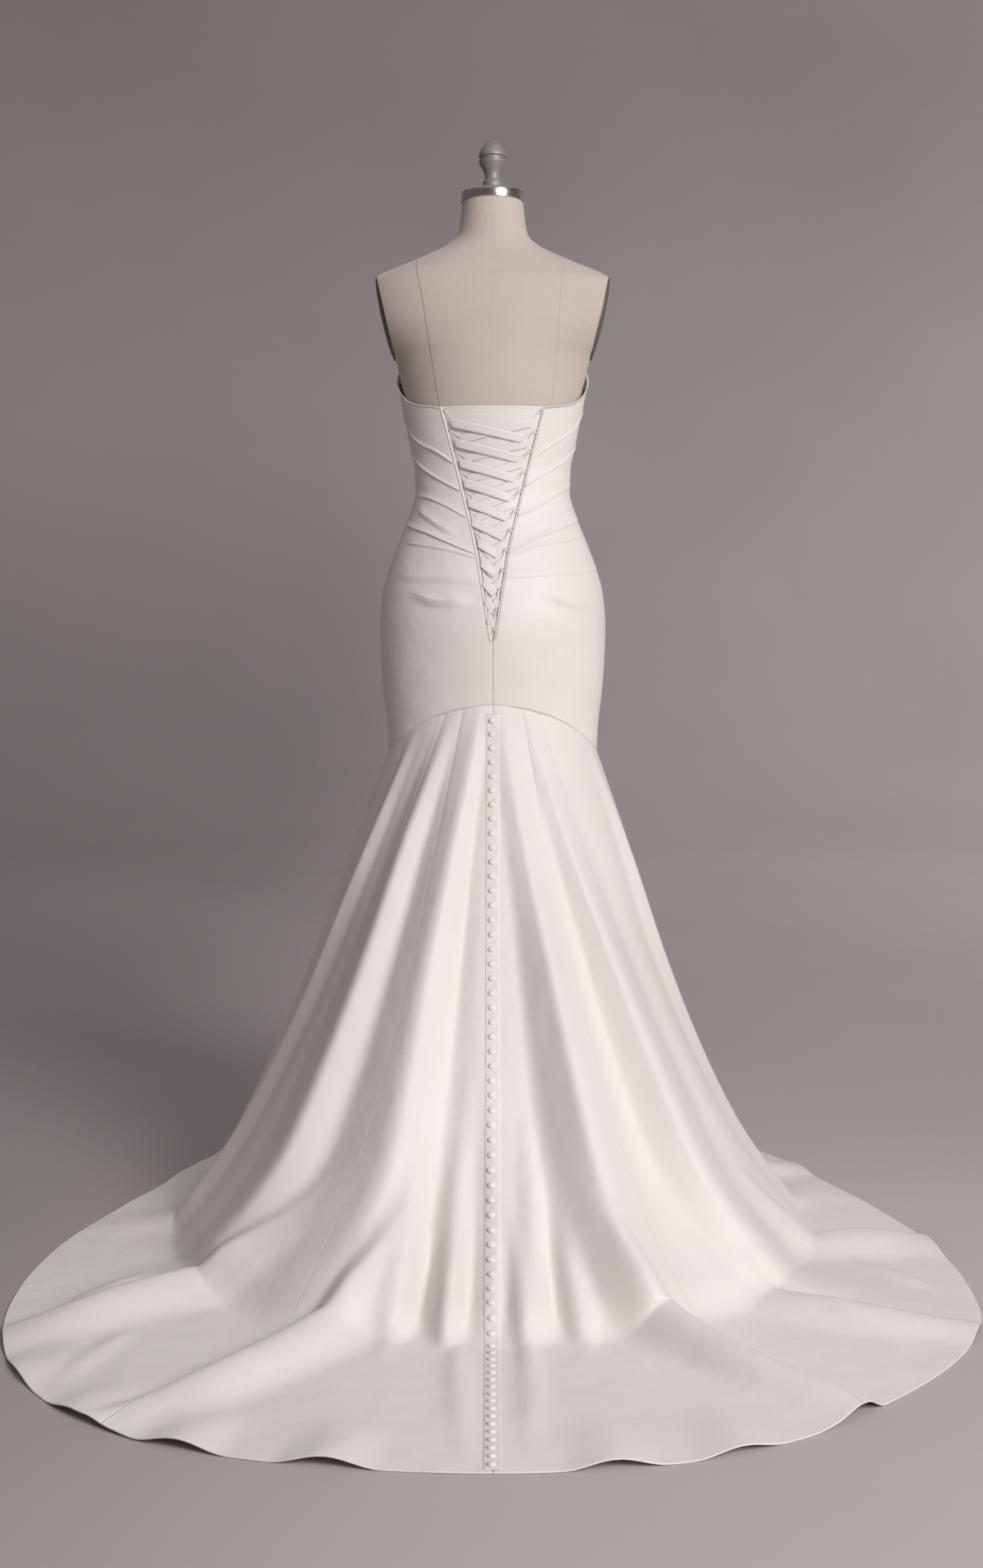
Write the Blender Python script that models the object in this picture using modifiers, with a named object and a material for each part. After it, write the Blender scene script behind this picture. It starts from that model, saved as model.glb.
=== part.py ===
"""A strapless trumpet wedding dress with a lace-up back and a train, on a limbless dress form.

Metres, +Z up. The wearer's front faces -Y, the wearer's left is +X, and the train lies towards +Y.
The origin is on the floor, in the middle of the stand's foot.

The figure is a table of level sections. Everything that touches it is a wall at a stated distance
outside it. The lower skirt is a table of profiles by azimuth, which starts at the trumpet seam and
ends at the hem on the floor. Folds are rows of a table too, and raise the skirt's surface.
Azimuths are degrees round the figure: 0 at the centre back, 90 at the wearer's left, 180 in front.
"""

import math
from collections import namedtuple
from functools import lru_cache

import bmesh
import bpy
import numpy as np
from mathutils import Matrix, Vector

# Cloth and seams.
CLOTH = 0.0020
SEAM_GAP = 0.0003

STEP = 0.004  # how far apart two points are taken to read a slope

# How far each layer lies outside the figure: its inner face.
TORSO_OUT = -0.0015
MODESTY_OUT = 0.0010
MODESTY_THICK = 0.0010
GOWN_OUT = 0.0036

# The figure. Centre is the Y of the section's middle: the neck leans forward.
Section = namedtuple("Section", "z half_width back front centre")
FIGURE = (
    Section(0.690, 0.1610, 0.1080, 0.1020, 0.0),
    Section(0.745, 0.1630, 0.1110, 0.1040, 0.0),
    Section(0.800, 0.1690, 0.1160, 0.1060, 0.0),
    Section(0.850, 0.1730, 0.1230, 0.1090, 0.0),
    Section(0.910, 0.1745, 0.1290, 0.1110, 0.0),
    Section(0.960, 0.1700, 0.1240, 0.1090, 0.0),
    Section(1.000, 0.1590, 0.1130, 0.1060, 0.0),
    Section(1.040, 0.1440, 0.0990, 0.1010, 0.0),
    Section(1.080, 0.1280, 0.0850, 0.0950, 0.0),
    Section(1.120, 0.1170, 0.0770, 0.0910, 0.0),
    Section(1.150, 0.1180, 0.0770, 0.0930, 0.0),
    Section(1.200, 0.1270, 0.0850, 0.1030, 0.0),
    Section(1.240, 0.1350, 0.0920, 0.1140, 0.0),
    Section(1.290, 0.1460, 0.0990, 0.1180, 0.0),
    Section(1.330, 0.1570, 0.1030, 0.1100, 0.0),
    Section(1.350, 0.1740, 0.1040, 0.1050, 0.0),
    Section(1.380, 0.1960, 0.1040, 0.0980, 0.0),
    Section(1.420, 0.2060, 0.0980, 0.0860, 0.0),
    Section(1.445, 0.2000, 0.0900, 0.0760, 0.0),
    Section(1.460, 0.1760, 0.0820, 0.0690, -0.001),
    Section(1.475, 0.1400, 0.0730, 0.0620, -0.002),
    Section(1.490, 0.1050, 0.0640, 0.0570, -0.004),
    Section(1.505, 0.0740, 0.0580, 0.0530, -0.005),
    Section(1.520, 0.0580, 0.0540, 0.0510, -0.006),
    Section(1.545, 0.0525, 0.0520, 0.0500, -0.008),
    Section(1.571, 0.0500, 0.0500, 0.0490, -0.011),
)
TORSO_BOTTOM_Z, TORSO_TOP_Z = 0.800, 1.571
TORSO_COLUMNS = 20
NECK_LEAN, LEAN_START_Z = math.radians(5), 1.500

# The bust: two soft mounds on the front of the figure.
BUST_AZIMUTH, BUST_SPREAD = 146.0, 41.6
BUST_Z, BUST_TALL, BUST_RISE = 1.235, 0.088, 0.022

# The lacing edge: half the width of the open V at each height. Below it the two back panels meet.
VEdge = namedtuple("VEdge", "z half_width")
V_EDGES = (
    VEdge(0.8800, 0.0004),
    VEdge(0.9500, 0.0112),
    VEdge(1.0200, 0.0222),
    VEdge(1.1000, 0.0400),
    VEdge(1.1700, 0.0570),
    VEdge(1.2465, 0.0790),
)
BINDING_WIDTH, BINDING_THICK = 0.0060, 0.0036
BINDING_ROWS, BINDING_FOOT_Z = 16, 0.8870
BINDING_FOOT_DROP = 0.0047  # the binding's foot is cut aslant, to meet the other one at the V's point
MODESTY_LAP, MODESTY_TOP_Z, MODESTY_BOTTOM_Z = 0.014, 1.2430, 0.8660
MODESTY_ROWS, MODESTY_COLUMNS = 14, 6

# Lacing: loops of cord on the bindings, and two ribbons that cross at every level.
LOOPS, LOOP_TOP_Z, LOOP_PITCH = 12, 1.2400, 0.0305
LOOP_DEPTH, LOOP_CORD = 0.0055, 0.0010
LOOP_SHARE = 0.6  # the most of the half opening that a loop takes, near the V's point
LOOP_ROOT, LOOP_END = 0.0035, 0.0024  # half the loop's height at the binding and at its far end
LOOP_SUNK, LOOP_MITRE = 0.0020, 1.4  # how far the cord's ends are sunk in the binding; its width at a corner
LACE_WIDTH, LACE_NECK, LACE_THICK = 0.0140, 0.0030, 0.0007
CORD_OUT, LACE_LIFT = 0.0064, 0.0016  # the loops' distance outside the figure; ribbons pass above and below
RUNG_SHARES = (0.05, 0.13, 0.5, 0.87, 0.95)  # where a ribbon has a section on its way between two loops
SHORT_RUNG_SHARES, SHORT_RUNG_WIDTH = (0.15, 0.3, 0.7, 0.85), 0.24
# A ribbon's sections round the end of a loop: how far towards the binding, how far off the cord, and
# the way that its thickness points, as shares of the way to the binding and of the way out.
TURN_STEPS = (
    (-0.0002, LACE_LIFT, 0.0, 1.0),
    (0.0015, 0.0006, 1.0, 0.5),
    (0.0015, -0.0006, 1.0, -0.5),
    (-0.0002, -LACE_LIFT, 0.0, -1.0),
)

# Pleats of the draped bodice, from the top edge down to the trumpet seam. Each row is one line round
# the body: its height at the lacing edge, half way to the side, at the side seam, over the bust and
# at the centre front, and how far its lower edge stands out.
Pleat = namedtuple("Pleat", "edge quarter side bust front rise")
PLEATS = (
    Pleat(1.2465, 1.2560, 1.2870, 1.3350, 1.3020, 0.0000),
    Pleat(1.1600, 1.1790, 1.2450, 1.2620, 1.2700, 0.0040),
    Pleat(1.1190, 1.1400, 1.1860, 1.2050, 1.2220, 0.0045),
    Pleat(1.0790, 1.1000, 1.1230, 1.1500, 1.1720, 0.0045),
    Pleat(1.0250, 1.0420, 1.0620, 1.0850, 1.1050, 0.0045),
    Pleat(1.0110, 1.0210, 1.0360, 1.0500, 1.0600, 0.0030),
    Pleat(0.9800, 0.9850, 0.9950, 1.0000, 1.0050, 0.0025),
    Pleat(0.9450, 0.9520, 0.9620, 0.9650, 0.9680, 0.0025),
    Pleat(0.7870, 0.7560, 0.7060, 0.7300, 0.7480, 0.0000),
)
PLEAT_FOOT, PLEAT_MIDDLE, MIDDLE_RELIEF = 0.14, 0.55, 0.35  # shares of the way down, and of the rise
# Rows below the last pleat, as shares of the way to the trumpet seam. Two of them meet the binding's foot.
HIP_SHARES = (0.05, 0.22, 0.370, 0.402, 0.60, 0.80)
# Columns of points from the lacing edge to the side seam, and how much of the pleats' rise each has.
BACK_COLUMNS = (0.0, 0.07, 0.2, 0.36, 0.52, 0.68, 0.84, 1.0)
BACK_RELIEFS = (0.4, 1.0, 1.0, 1.0, 1.0, 0.9, 0.7, 0.5)
FRONT_COLUMNS = 16
TRUMPET_GAP = 0.0006
SEAM_BEND, SEAM_BEND_Z = 30, 0.7690  # the trumpet seam's height at this many degrees from the centre back

# The flared skirt: how far from the axis it is at each height, by azimuth, and where it meets the floor.
Flare = namedtuple("Flare", "azimuth r55 r40 r25 r12 r04 foot")
FLARE_HEIGHTS = (0.55, 0.40, 0.25, 0.12, 0.04, 0.0)
FLARES = (
    Flare(0, 0.256, 0.355, 0.483, 0.617, 0.725, 0.800),
    Flare(20, 0.254, 0.350, 0.472, 0.600, 0.705, 0.775),
    Flare(45, 0.240, 0.315, 0.408, 0.505, 0.585, 0.640),
    Flare(70, 0.223, 0.272, 0.336, 0.408, 0.470, 0.512),
    Flare(90, 0.219, 0.265, 0.322, 0.380, 0.425, 0.455),
    Flare(120, 0.195, 0.242, 0.298, 0.352, 0.394, 0.420),
    Flare(150, 0.176, 0.223, 0.278, 0.332, 0.373, 0.398),
    Flare(180, 0.170, 0.216, 0.270, 0.324, 0.365, 0.390),
)
FLARE_STATIONS = (0.0, 0.16, 0.30, 0.44, 0.57, 0.68, 0.76, 1.0)
SKIRT_ROWS = (0.0, 0.04, 0.09, 0.15, 0.21, 0.27, 0.33, 0.39, 0.45, 0.51, 0.57, 0.62, 0.67, 0.72, 0.77,
              0.83, 0.89, 0.95, 1.0)

# The hem: its distance from the axis, on the wearer's left and right.
Hem = namedtuple("Hem", "azimuth left right")
HEMS = (
    Hem(0, 1.190, 1.190),
    Hem(10, 1.186, 1.181),
    Hem(18, 1.176, 1.146),
    Hem(25, 1.140, 1.092),
    Hem(34, 1.056, 1.025),
    Hem(42, 0.957, 0.955),
    Hem(50, 0.853, 0.860),
    Hem(60, 0.738, 0.752),
    Hem(75, 0.604, 0.622),
    Hem(92, 0.525, 0.537),
    Hem(112, 0.503, 0.502),
    Hem(135, 0.470, 0.470),
    Hem(160, 0.440, 0.440),
    Hem(180, 0.430, 0.430),
)

# Folds of the skirt. A row is the crest of one flute or train roll: its azimuth at each station down
# the skirt, the widths of its flanks towards and away from the centre back, and its height there.
Fold = namedtuple("Fold", "seam thigh knee shin foot train hem inner outer "
                          "up_thigh up_knee up_shin up_foot up_train up_hem")
FOLD_STATIONS = (0.0, 0.15, 0.30, 0.50, 0.70, 0.85, 1.0)
FLANK_SHARES = (0.25, 0.42, 0.62, 0.88, 1.0, 1.0, 1.0)
FOLDS = (
    # The wearer's left, from the centre back round to the front.
    Fold(9.5, 13.6, 14.6, 13.7, 17, 18, 18, 0.080, 0.138, 0.020, 0.031, 0.040, 0.018, 0, 0),
    Fold(11, 11, 11, 9.5, 14.8, 18.9, 23.5, 0.110, 0.036, 0, 0, 0.002, 0.025, 0.028, 0.005),
    Fold(8, 8, 8.3, 8, 7, 5, 5, 0.055, 0.030, -0.002, -0.006, -0.011, -0.006, 0, 0),
    Fold(29, 32.5, 32.3, 31.5, 37.5, 40, 41, 0.080, 0.115, 0.018, 0.027, 0.032, 0.018, 0.006, 0),
    Fold(24, 24, 24, 23, 34.0, 38.2, 40.5, 0.120, 0.036, 0, 0, 0, 0.022, 0.025, 0.005),
    Fold(54, 55.5, 60, 62, 63, 66, 68, 0.072, 0.080, 0.012, 0.019, 0.022, 0.018, 0.008, 0),
    Fold(92, 91, 90, 88, 90, 92, 94, 0.080, 0.070, 0.007, 0.014, 0.018, 0.016, 0.008, 0.003),
    Fold(124, 121, 118, 116, 116, 116, 116, 0.070, 0.080, 0.006, 0.014, 0.018, 0.018, 0.012, 0.008),
    Fold(150, 147, 144, 142, 142, 142, 142, 0.080, 0.060, 0.006, 0.014, 0.020, 0.018, 0.010, 0.006),
    Fold(172, 170, 168, 167, 166, 166, 166, 0.050, 0.065, 0.004, 0.012, 0.018, 0.016, 0.010, 0.006),
    # The wearer's right.
    Fold(-6, -11.0, -12.8, -13.2, -15.4, -18, -20, 0.074, 0.110, 0.013, 0.036, 0.058, 0.036, 0.004, 0),
    Fold(-11, -11, -11, -11, -15.6, -19, -23.5, 0.060, 0.032, 0, 0, 0, 0.022, 0.030, 0.010),
    Fold(-24, -27.5, -29.2, -29.0, -33.5, -39, -43, 0.064, 0.130, 0.014, 0.031, 0.044, 0.030, 0.008, 0),
    Fold(-26, -26, -26, -26, -29.8, -34.5, -41, 0.070, 0.032, 0, 0, 0, 0.008, 0.024, 0.009),
    Fold(-50, -50, -48, -42, -52, -58.5, -63, 0.090, 0.036, 0, 0, 0, 0.010, 0.020, 0.007),
    Fold(-72, -68, -66, -66, -74, -82, -85, 0.085, 0.080, 0.010, 0.016, 0.012, 0.008, 0.006, 0),
    Fold(-104, -104, -102, -101, -100, -100, -100, 0.070, 0.060, 0.005, 0.012, 0.016, 0.017, 0.012, 0.005),
    Fold(-130, -129, -128, -127, -126, -126, -126, 0.060, 0.080, 0.006, 0.015, 0.019, 0.020, 0.010, 0.006),
    Fold(-156, -155, -152, -150, -150, -150, -150, 0.060, 0.055, 0.005, 0.013, 0.018, 0.017, 0.010, 0.006),
)
CREST_ROUND, FOOT_ROUND = 0.16, 0.40  # the shares of a flank that curve at its crest and at its foot

# Where the hem lifts off the floor: the middle of each wave, half its width in degrees, its height.
Wave = namedtuple("Wave", "azimuth half_width lift")
WAVES = (
    Wave(33.5, 3.6, 0.007),
    Wave(25.5, 3.2, 0.010),
    Wave(17.6, 3.2, 0.012),
    Wave(9.0, 3.2, 0.012),
    Wave(-6.6, 3.0, 0.011),
    Wave(-13.8, 3.0, 0.009),
    Wave(-22.0, 3.4, 0.006),
)
WAVE_REACH = 0.10  # share of the skirt's length that a wave reaches up from the hem

# The gores of the skirt: the azimuth of each seam down the skirt, at the fold stations.
Seam = namedtuple("Seam", "seam thigh knee shin foot train hem")
CENTRE_SEAM = Seam(0, 0, 0, 0, 0, 0, 0)
BACK_SEAM = Seam(21.5, 20, 19, 18.5, 20, 22, 23)
SIDE_BACK_SEAM = Seam(34.5, 36, 41, 45, 48, 50, 50)
SIDE_FRONT_SEAM = Seam(116, 110, 107, 106, 106, 106, 106)
BACK_COLUMN_COUNT, MID_COLUMN_COUNT, SIDE_COLUMN_COUNT, FRONT_COLUMN_COUNT = 8, 8, 16, 20

# The buttoned strip over the centre-back seam of the skirt.
PLACKET_WIDTH, PLACKET_THICK, PLACKET_GAP = 0.0210, 0.0012, 0.0005
BUTTONS, BUTTON_RADIUS, BUTTON_TOP, BUTTON_HEIGHT = 60, 0.0052, 0.0030, 0.0042
BUTTON_SINK, BUTTON_ACROSS = 0.0006, 0.0012
PLACKET_TOP_V, PLACKET_FOOT_V = 0.01, 0.996  # where the strip starts and ends on the skirt

# The dress form's hard pieces.
ARM_TOP, ARM_FOOT = (0.1820, 1.455), (0.1530, 1.326)  # the armhole's plane: (distance to the side, height)
ARM_PLATE_TALL, ARM_PLATE_DEEP, ARM_PLATE_THICK = 0.066, 0.048, 0.0075
ARM_CUT_WIDE, ARM_CUT_DEEP, ARM_CUT_SPARE = 0.1, 0.3, 0.02  # the block that cuts an armhole flat
CAP_RADIUS, CAP_HEIGHT = 0.0500, 0.0168
POLE_RADIUS, BASE_RADIUS, BASE_HEIGHT, HUB_RADIUS, HUB_HEIGHT = 0.016, 0.180, 0.015, 0.028, 0.060


def curve_through(xs, ys, even=False):
    """A smooth function through the rows (x, y). It never swings past a row. Even: mirrored at both ends."""
    xs, ys = list(map(float, xs)), list(map(float, ys))
    if even:
        low, high = xs[0], xs[-1]
        xs = [2 * low - x for x in xs[:0:-1]] + xs + [2 * high - x for x in xs[-2::-1]]
        ys = ys[:0:-1] + ys + ys[-2::-1]
    steps = [b - a for a, b in zip(xs, xs[1:])]
    slopes = [(b - a) / h for a, b, h in zip(ys, ys[1:], steps)]
    tangents = [slopes[0]]
    for before, after in zip(slopes, slopes[1:]):
        tangents.append(0.0 if before * after <= 0 else 2 * before * after / (before + after))
    tangents.append(slopes[-1])

    def value(x):
        x = min(max(x, xs[0]), xs[-1])
        i = min(max(int(np.searchsorted(xs, x)) - 1, 0), len(steps) - 1)
        h = steps[i]
        t = (x - xs[i]) / h
        return (
            ys[i] * (1 + 2 * t) * (1 - t) ** 2
            + ys[i + 1] * t * t * (3 - 2 * t)
            + h * (tangents[i] * t * (1 - t) ** 2 - tangents[i + 1] * t * t * (1 - t))
        )

    return value


FIGURE_AT = {
    name: curve_through([s.z for s in FIGURE], [getattr(s, name) for s in FIGURE])
    for name in ("half_width", "back", "front", "centre")
}


def bell(x):
    """A smooth hump, 1 at 0 and 0 from -1 and 1 outwards."""
    return 0.5 + 0.5 * math.cos(math.pi * x) if abs(x) < 1 else 0.0


def body_point(turn, z, out):
    """A point this far outside the figure. The turn is the section's own angle, in radians."""
    turn = math.remainder(turn, 2 * math.pi)
    half_width = FIGURE_AT["half_width"](z)
    depth = FIGURE_AT["back" if math.cos(turn) > 0 else "front"](z)
    across, along = half_width * math.sin(turn), depth * math.cos(turn)
    normal = Vector((math.sin(turn) / half_width, math.cos(turn) / depth, 0)).normalized()
    mound = BUST_RISE * bell((abs(math.degrees(turn)) - BUST_AZIMUTH) / BUST_SPREAD)
    mound *= bell((z - BUST_Z) / BUST_TALL)
    return Vector((across, along + FIGURE_AT["centre"](z), z)) + normal * (out + mound)


def turn_of(azimuth, z):
    """The section's own angle for an azimuth, both measured from the centre back."""
    half_width = FIGURE_AT["half_width"](z)
    depth = FIGURE_AT["back" if math.cos(azimuth) > 0 else "front"](z)
    return math.atan2(math.sin(azimuth) / half_width, math.cos(azimuth) / depth)


SEAM_CURVE = curve_through(
    (0, SEAM_BEND, 90, 135, 180),
    (PLEATS[-1].edge, SEAM_BEND_Z, PLEATS[-1].side, PLEATS[-1].bust, PLEATS[-1].front),
    even=True,
)
SEAM_TURNS = [90 * share for share in BACK_COLUMNS]
SEAM_TURNS += [90 + 180 * i / FRONT_COLUMNS for i in range(1, FRONT_COLUMNS // 2 + 1)]
SEAM_HEIGHTS = [SEAM_CURVE(turn) for turn in SEAM_TURNS]


def seam_z(turn):
    """The height of the trumpet seam: straight between the columns of the panels above it."""
    turn = abs(math.degrees(math.remainder(turn, 2 * math.pi)))
    return float(np.interp(turn, SEAM_TURNS, SEAM_HEIGHTS))


def skirt_top(azimuth, out):
    """The skirt's top edge, under the trumpet seam."""
    z = seam_z(azimuth)
    for _ in range(4):
        turn = turn_of(azimuth, z)
        z = seam_z(turn)
    return body_point(turn, z - TRUMPET_GAP / 2, out)


FLARE_AT = [
    curve_through([f.azimuth for f in FLARES], [getattr(f, name) for f in FLARES], even=True)
    for name in ("r55", "r40", "r25", "r12", "r04", "foot")
]
HEM_AT = {
    side: curve_through([h.azimuth for h in HEMS], [getattr(h, side) for h in HEMS], even=True)
    for side in ("left", "right")
}


@lru_cache(maxsize=None)
def skirt_base(azimuth, v):
    """The under side of the skirt before its folds: v is 0 at the trumpet seam and 1 at the hem."""
    azimuth = math.remainder(azimuth, 2 * math.pi)
    degrees = abs(math.degrees(azimuth))
    top = skirt_top(azimuth, GOWN_OUT)
    hem = HEM_AT["left" if azimuth >= 0 else "right"](degrees)
    radii = [math.hypot(top.x, top.y)] + [at(degrees) for at in FLARE_AT] + [hem]
    radius = curve_through(FLARE_STATIONS, radii)(v)
    height = curve_through(FLARE_STATIONS, [top.z, *FLARE_HEIGHTS, 0.0])(v)
    return Vector((radius * math.sin(azimuth), radius * math.cos(azimuth), height))


def stations(row):
    """A function of v through a row's seven azimuths."""
    return curve_through(FOLD_STATIONS, row[:7])


FOLD_TRACKS = [
    (stations(f), curve_through(FOLD_STATIONS, (0.0, *f[9:])), f.inner, f.outer) for f in FOLDS
]
FLANK_SHARE = curve_through(FOLD_STATIONS, FLANK_SHARES)


def ridge(x):
    """A fold's profile, 1 at 0 and 0 from -1 and 1 outwards: flat flanks, a small crest and soft feet."""
    t = min(abs(x), 1)
    steep = 1 / (1 - CREST_ROUND / 2 - FOOT_ROUND / 2)
    if t < CREST_ROUND:
        return 1 - steep * t * t / (2 * CREST_ROUND)
    if t > 1 - FOOT_ROUND:
        return steep * (1 - t) ** 2 / (2 * FOOT_ROUND)
    return 1 - steep * (t - CREST_ROUND / 2)


def fold_height(azimuth, v, radius):
    """How far the folds and the hem's waves raise the skirt here."""
    degrees = math.degrees(math.remainder(azimuth, 2 * math.pi))
    share, height = FLANK_SHARE(v), 0.0
    for track, rise, inner, outer in FOLD_TRACKS:
        crest = track(v)
        past = math.radians(degrees - crest) * radius
        away = past * crest > 0
        height += rise(v) * ridge(past / ((outer if away else inner) * share))
    for wave in WAVES:
        height += wave.lift * bell((degrees - wave.azimuth) / wave.half_width) * bell((1 - v) / WAVE_REACH)
    return height


@lru_cache(maxsize=None)
def skirt_under(azimuth, v):
    """The under side of the skirt, folds and all."""
    base = skirt_base(azimuth, v)
    before, after = skirt_base(azimuth, max(v - STEP, 0)), skirt_base(azimuth, min(v + STEP, 1))
    run = math.hypot(after.x, after.y) - math.hypot(before.x, before.y)
    slope = Vector((before.z - after.z, run)).normalized()
    height = fold_height(azimuth, v, math.hypot(base.x, base.y))
    raised = base + Vector((math.sin(azimuth), math.cos(azimuth), 0)) * (slope.x * height)
    raised.z = max(base.z + slope.y * height, 0.0)
    return raised


def skirt_point(azimuth, v, out):
    """A point this far outside the skirt's under side."""
    if v == 0:
        return skirt_top(azimuth, GOWN_OUT + out)
    around = skirt_under(azimuth + STEP, v) - skirt_under(azimuth - STEP, v)
    down = skirt_under(azimuth, min(v + STEP, 1)) - skirt_under(azimuth, v - STEP)
    return skirt_under(azimuth, v) + around.cross(down).normalized() * out


def back_point(across, z, out):
    """A point of the back this far to the wearer's left of its middle."""
    turn = math.asin(max(-1, min(1, across / FIGURE_AT["half_width"](z))))
    return body_point(turn, z, out)


def back_normal(across, z):
    side = back_point(across + STEP, z, 0) - back_point(across - STEP, z, 0)
    up = back_point(across, z + STEP, 0) - back_point(across, z - STEP, 0)
    return up.cross(side).normalized()


# ---------------------------------------------------------------- ways of making a solid


def clear_scene():
    for obj in list(bpy.data.objects):
        bpy.data.objects.remove(obj, do_unlink=True)


def collection(name):
    made = bpy.data.collections.new(name)
    bpy.context.scene.collection.children.link(made)
    return made


def finish(name, colour, roughness, metallic=0.0):
    """A plain material."""
    material = bpy.data.materials.new(name)
    material.use_nodes = True
    shader = material.node_tree.nodes["Principled BSDF"]
    shader.inputs["Base Color"].default_value = (*colour, 1)
    shader.inputs["Roughness"].default_value = roughness
    shader.inputs["Metallic"].default_value = metallic
    return material


def add_object(name, bm, material, group):
    """One named object from a bmesh, which it frees."""
    mesh = bpy.data.meshes.new(name)
    bm.to_mesh(mesh)
    bm.free()
    mesh.materials.append(material)
    mesh.shade_smooth()
    mesh.set_sharp_from_angle(angle=math.radians(40))
    obj = bpy.data.objects.new(name, mesh)
    group.objects.link(obj)
    return obj


def wall(name, inner, outer, material, group):
    """A closed wall of cloth. Inner and outer are grids of points, a list for each row."""
    rows, columns = len(inner) - 1, len(inner[0]) - 1
    bm = bmesh.new()
    row_of, column_of = bm.verts.layers.int.new("row"), bm.verts.layers.int.new("column")
    bmesh.ops.create_grid(bm, x_segments=columns, y_segments=rows, size=0.5)
    for vert in bm.verts:
        vert[column_of] = round((vert.co.x + 0.5) * columns)
        vert[row_of] = round((vert.co.y + 0.5) * rows)
        vert.co = inner[vert[row_of]][vert[column_of]]
    bmesh.ops.triangulate(bm, faces=bm.faces[:], quad_method="SHORT_EDGE")
    made = bmesh.ops.extrude_face_region(bm, geom=bm.faces[:], use_keep_orig=True)
    for vert in made["geom"]:
        if isinstance(vert, bmesh.types.BMVert):
            vert.co = outer[vert[row_of]][vert[column_of]]
    bmesh.ops.triangulate(bm, faces=bm.faces[:], quad_method="SHORT_EDGE")
    bmesh.ops.recalc_face_normals(bm, faces=bm.faces[:])
    return add_object(name, bm, material, group)


def loft(bm, rings):
    """Adds a closed skin through rings with the same number of points, flat at both ends.

    Each side is split from the same corner on both faces of a strip, so a twisted one keeps its thickness.
    """
    made = [[bm.verts.new(point) for point in ring] for ring in rings]
    faces = [bm.faces.new(made[0]), bm.faces.new(made[-1])]
    for ring, after in zip(made, made[1:]):
        for i in range(len(ring)):
            j = (i + 1) % len(ring)
            low, high = (j, i) if 2 * i < len(ring) else (i, j)
            faces.append(bm.faces.new((ring[i], ring[j], after[low])))
            faces.append(bm.faces.new((ring[high], after[j], after[i])))
    bmesh.ops.recalc_face_normals(bm, faces=faces)


def boolean(obj, other, operation):
    """Joins another object to this one, or cuts it out, and hides the other."""
    other.hide_render = True
    other.display_type = "WIRE"
    modifier = obj.modifiers.new(operation.title(), "BOOLEAN")
    modifier.operation = operation
    modifier.object = other


def turned(name, profile, material, group, steps=28):
    """A turned piece. The profile is (radius, height), from the top down its outer side."""
    bm = bmesh.new()
    verts = [bm.verts.new((radius, 0, height)) for radius, height in profile]
    for pair in zip(verts, verts[1:]):
        bm.edges.new(pair)
    obj = add_object(name, bm, material, group)
    screw = obj.modifiers.new("Turn", "SCREW")
    screw.steps = screw.render_steps = steps
    screw.use_merge_vertices = True
    screw.merge_threshold = 0.0001
    return obj


# ---------------------------------------------------------------- the gown above the trumpet seam

V_HALF = curve_through([e.z for e in V_EDGES], [e.half_width for e in V_EDGES])


def panel(name, columns, places, turns_at, reliefs, material, group):
    """One panel from the top edge to the trumpet seam, its pleats raised outside over a plain inside.

    The columns name three heights of each pleat, at the places 0, a half and 1. The places say where
    each column of points lies between them, and turns_at gives a row's turns from its heights.
    """
    lines = [curve_through((0, 0.5, 1), [getattr(pleat, name) for name in columns]) for pleat in PLEATS]
    rows = []
    for i, (pleat, below) in enumerate(zip(PLEATS, PLEATS[1:])):
        rows.append((i, 0.0, pleat.rise))
        if below is PLEATS[-1]:
            rows += [(i, share, 0.0) for share in HIP_SHARES]
        else:
            rows += [(i, PLEAT_FOOT, 0.0), (i, PLEAT_MIDDLE, MIDDLE_RELIEF * below.rise)]
    inner, outer = [], []
    for i, share, relief in rows:
        heights = [(1 - share) * lines[i](place) + share * lines[i + 1](place) for place in places]
        turns = turns_at(heights)
        inner.append([body_point(turn, z, GOWN_OUT) for turn, z in zip(turns, heights)])
        outer.append([
            body_point(turn, z, GOWN_OUT + CLOTH + relief * flat)
            for turn, z, flat in zip(turns, heights, reliefs)
        ])
    turns = turns_at([lines[-1](place) for place in places])
    for grid, out in ((inner, GOWN_OUT), (outer, GOWN_OUT + CLOTH)):
        grid.append([body_point(turn, seam_z(turn) + TRUMPET_GAP / 2, out) for turn in turns])
    return wall(name, inner, outer, material, group)


def back_turns(side):
    def turns_at(heights):
        """From the lacing edge, or the centre seam below it, to the side seam."""
        edge_z = heights[0]
        open_here = edge_z > BINDING_FOOT_Z - 0.001
        start = V_HALF(edge_z) + BINDING_WIDTH + SEAM_GAP if open_here else SEAM_GAP / 2
        low = math.asin(start / FIGURE_AT["half_width"](edge_z))
        high = math.pi / 2 - SEAM_GAP / 2 / FIGURE_AT["back"](heights[-1])
        return [side * (low + share * (high - low)) for share in BACK_COLUMNS]

    return turns_at


def front_turns(heights):
    low = math.pi / 2 + SEAM_GAP / 2 / FIGURE_AT["front"](heights[0])
    return [low + 2 * (math.pi - low) * i / FRONT_COLUMNS for i in range(FRONT_COLUMNS + 1)]


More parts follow.
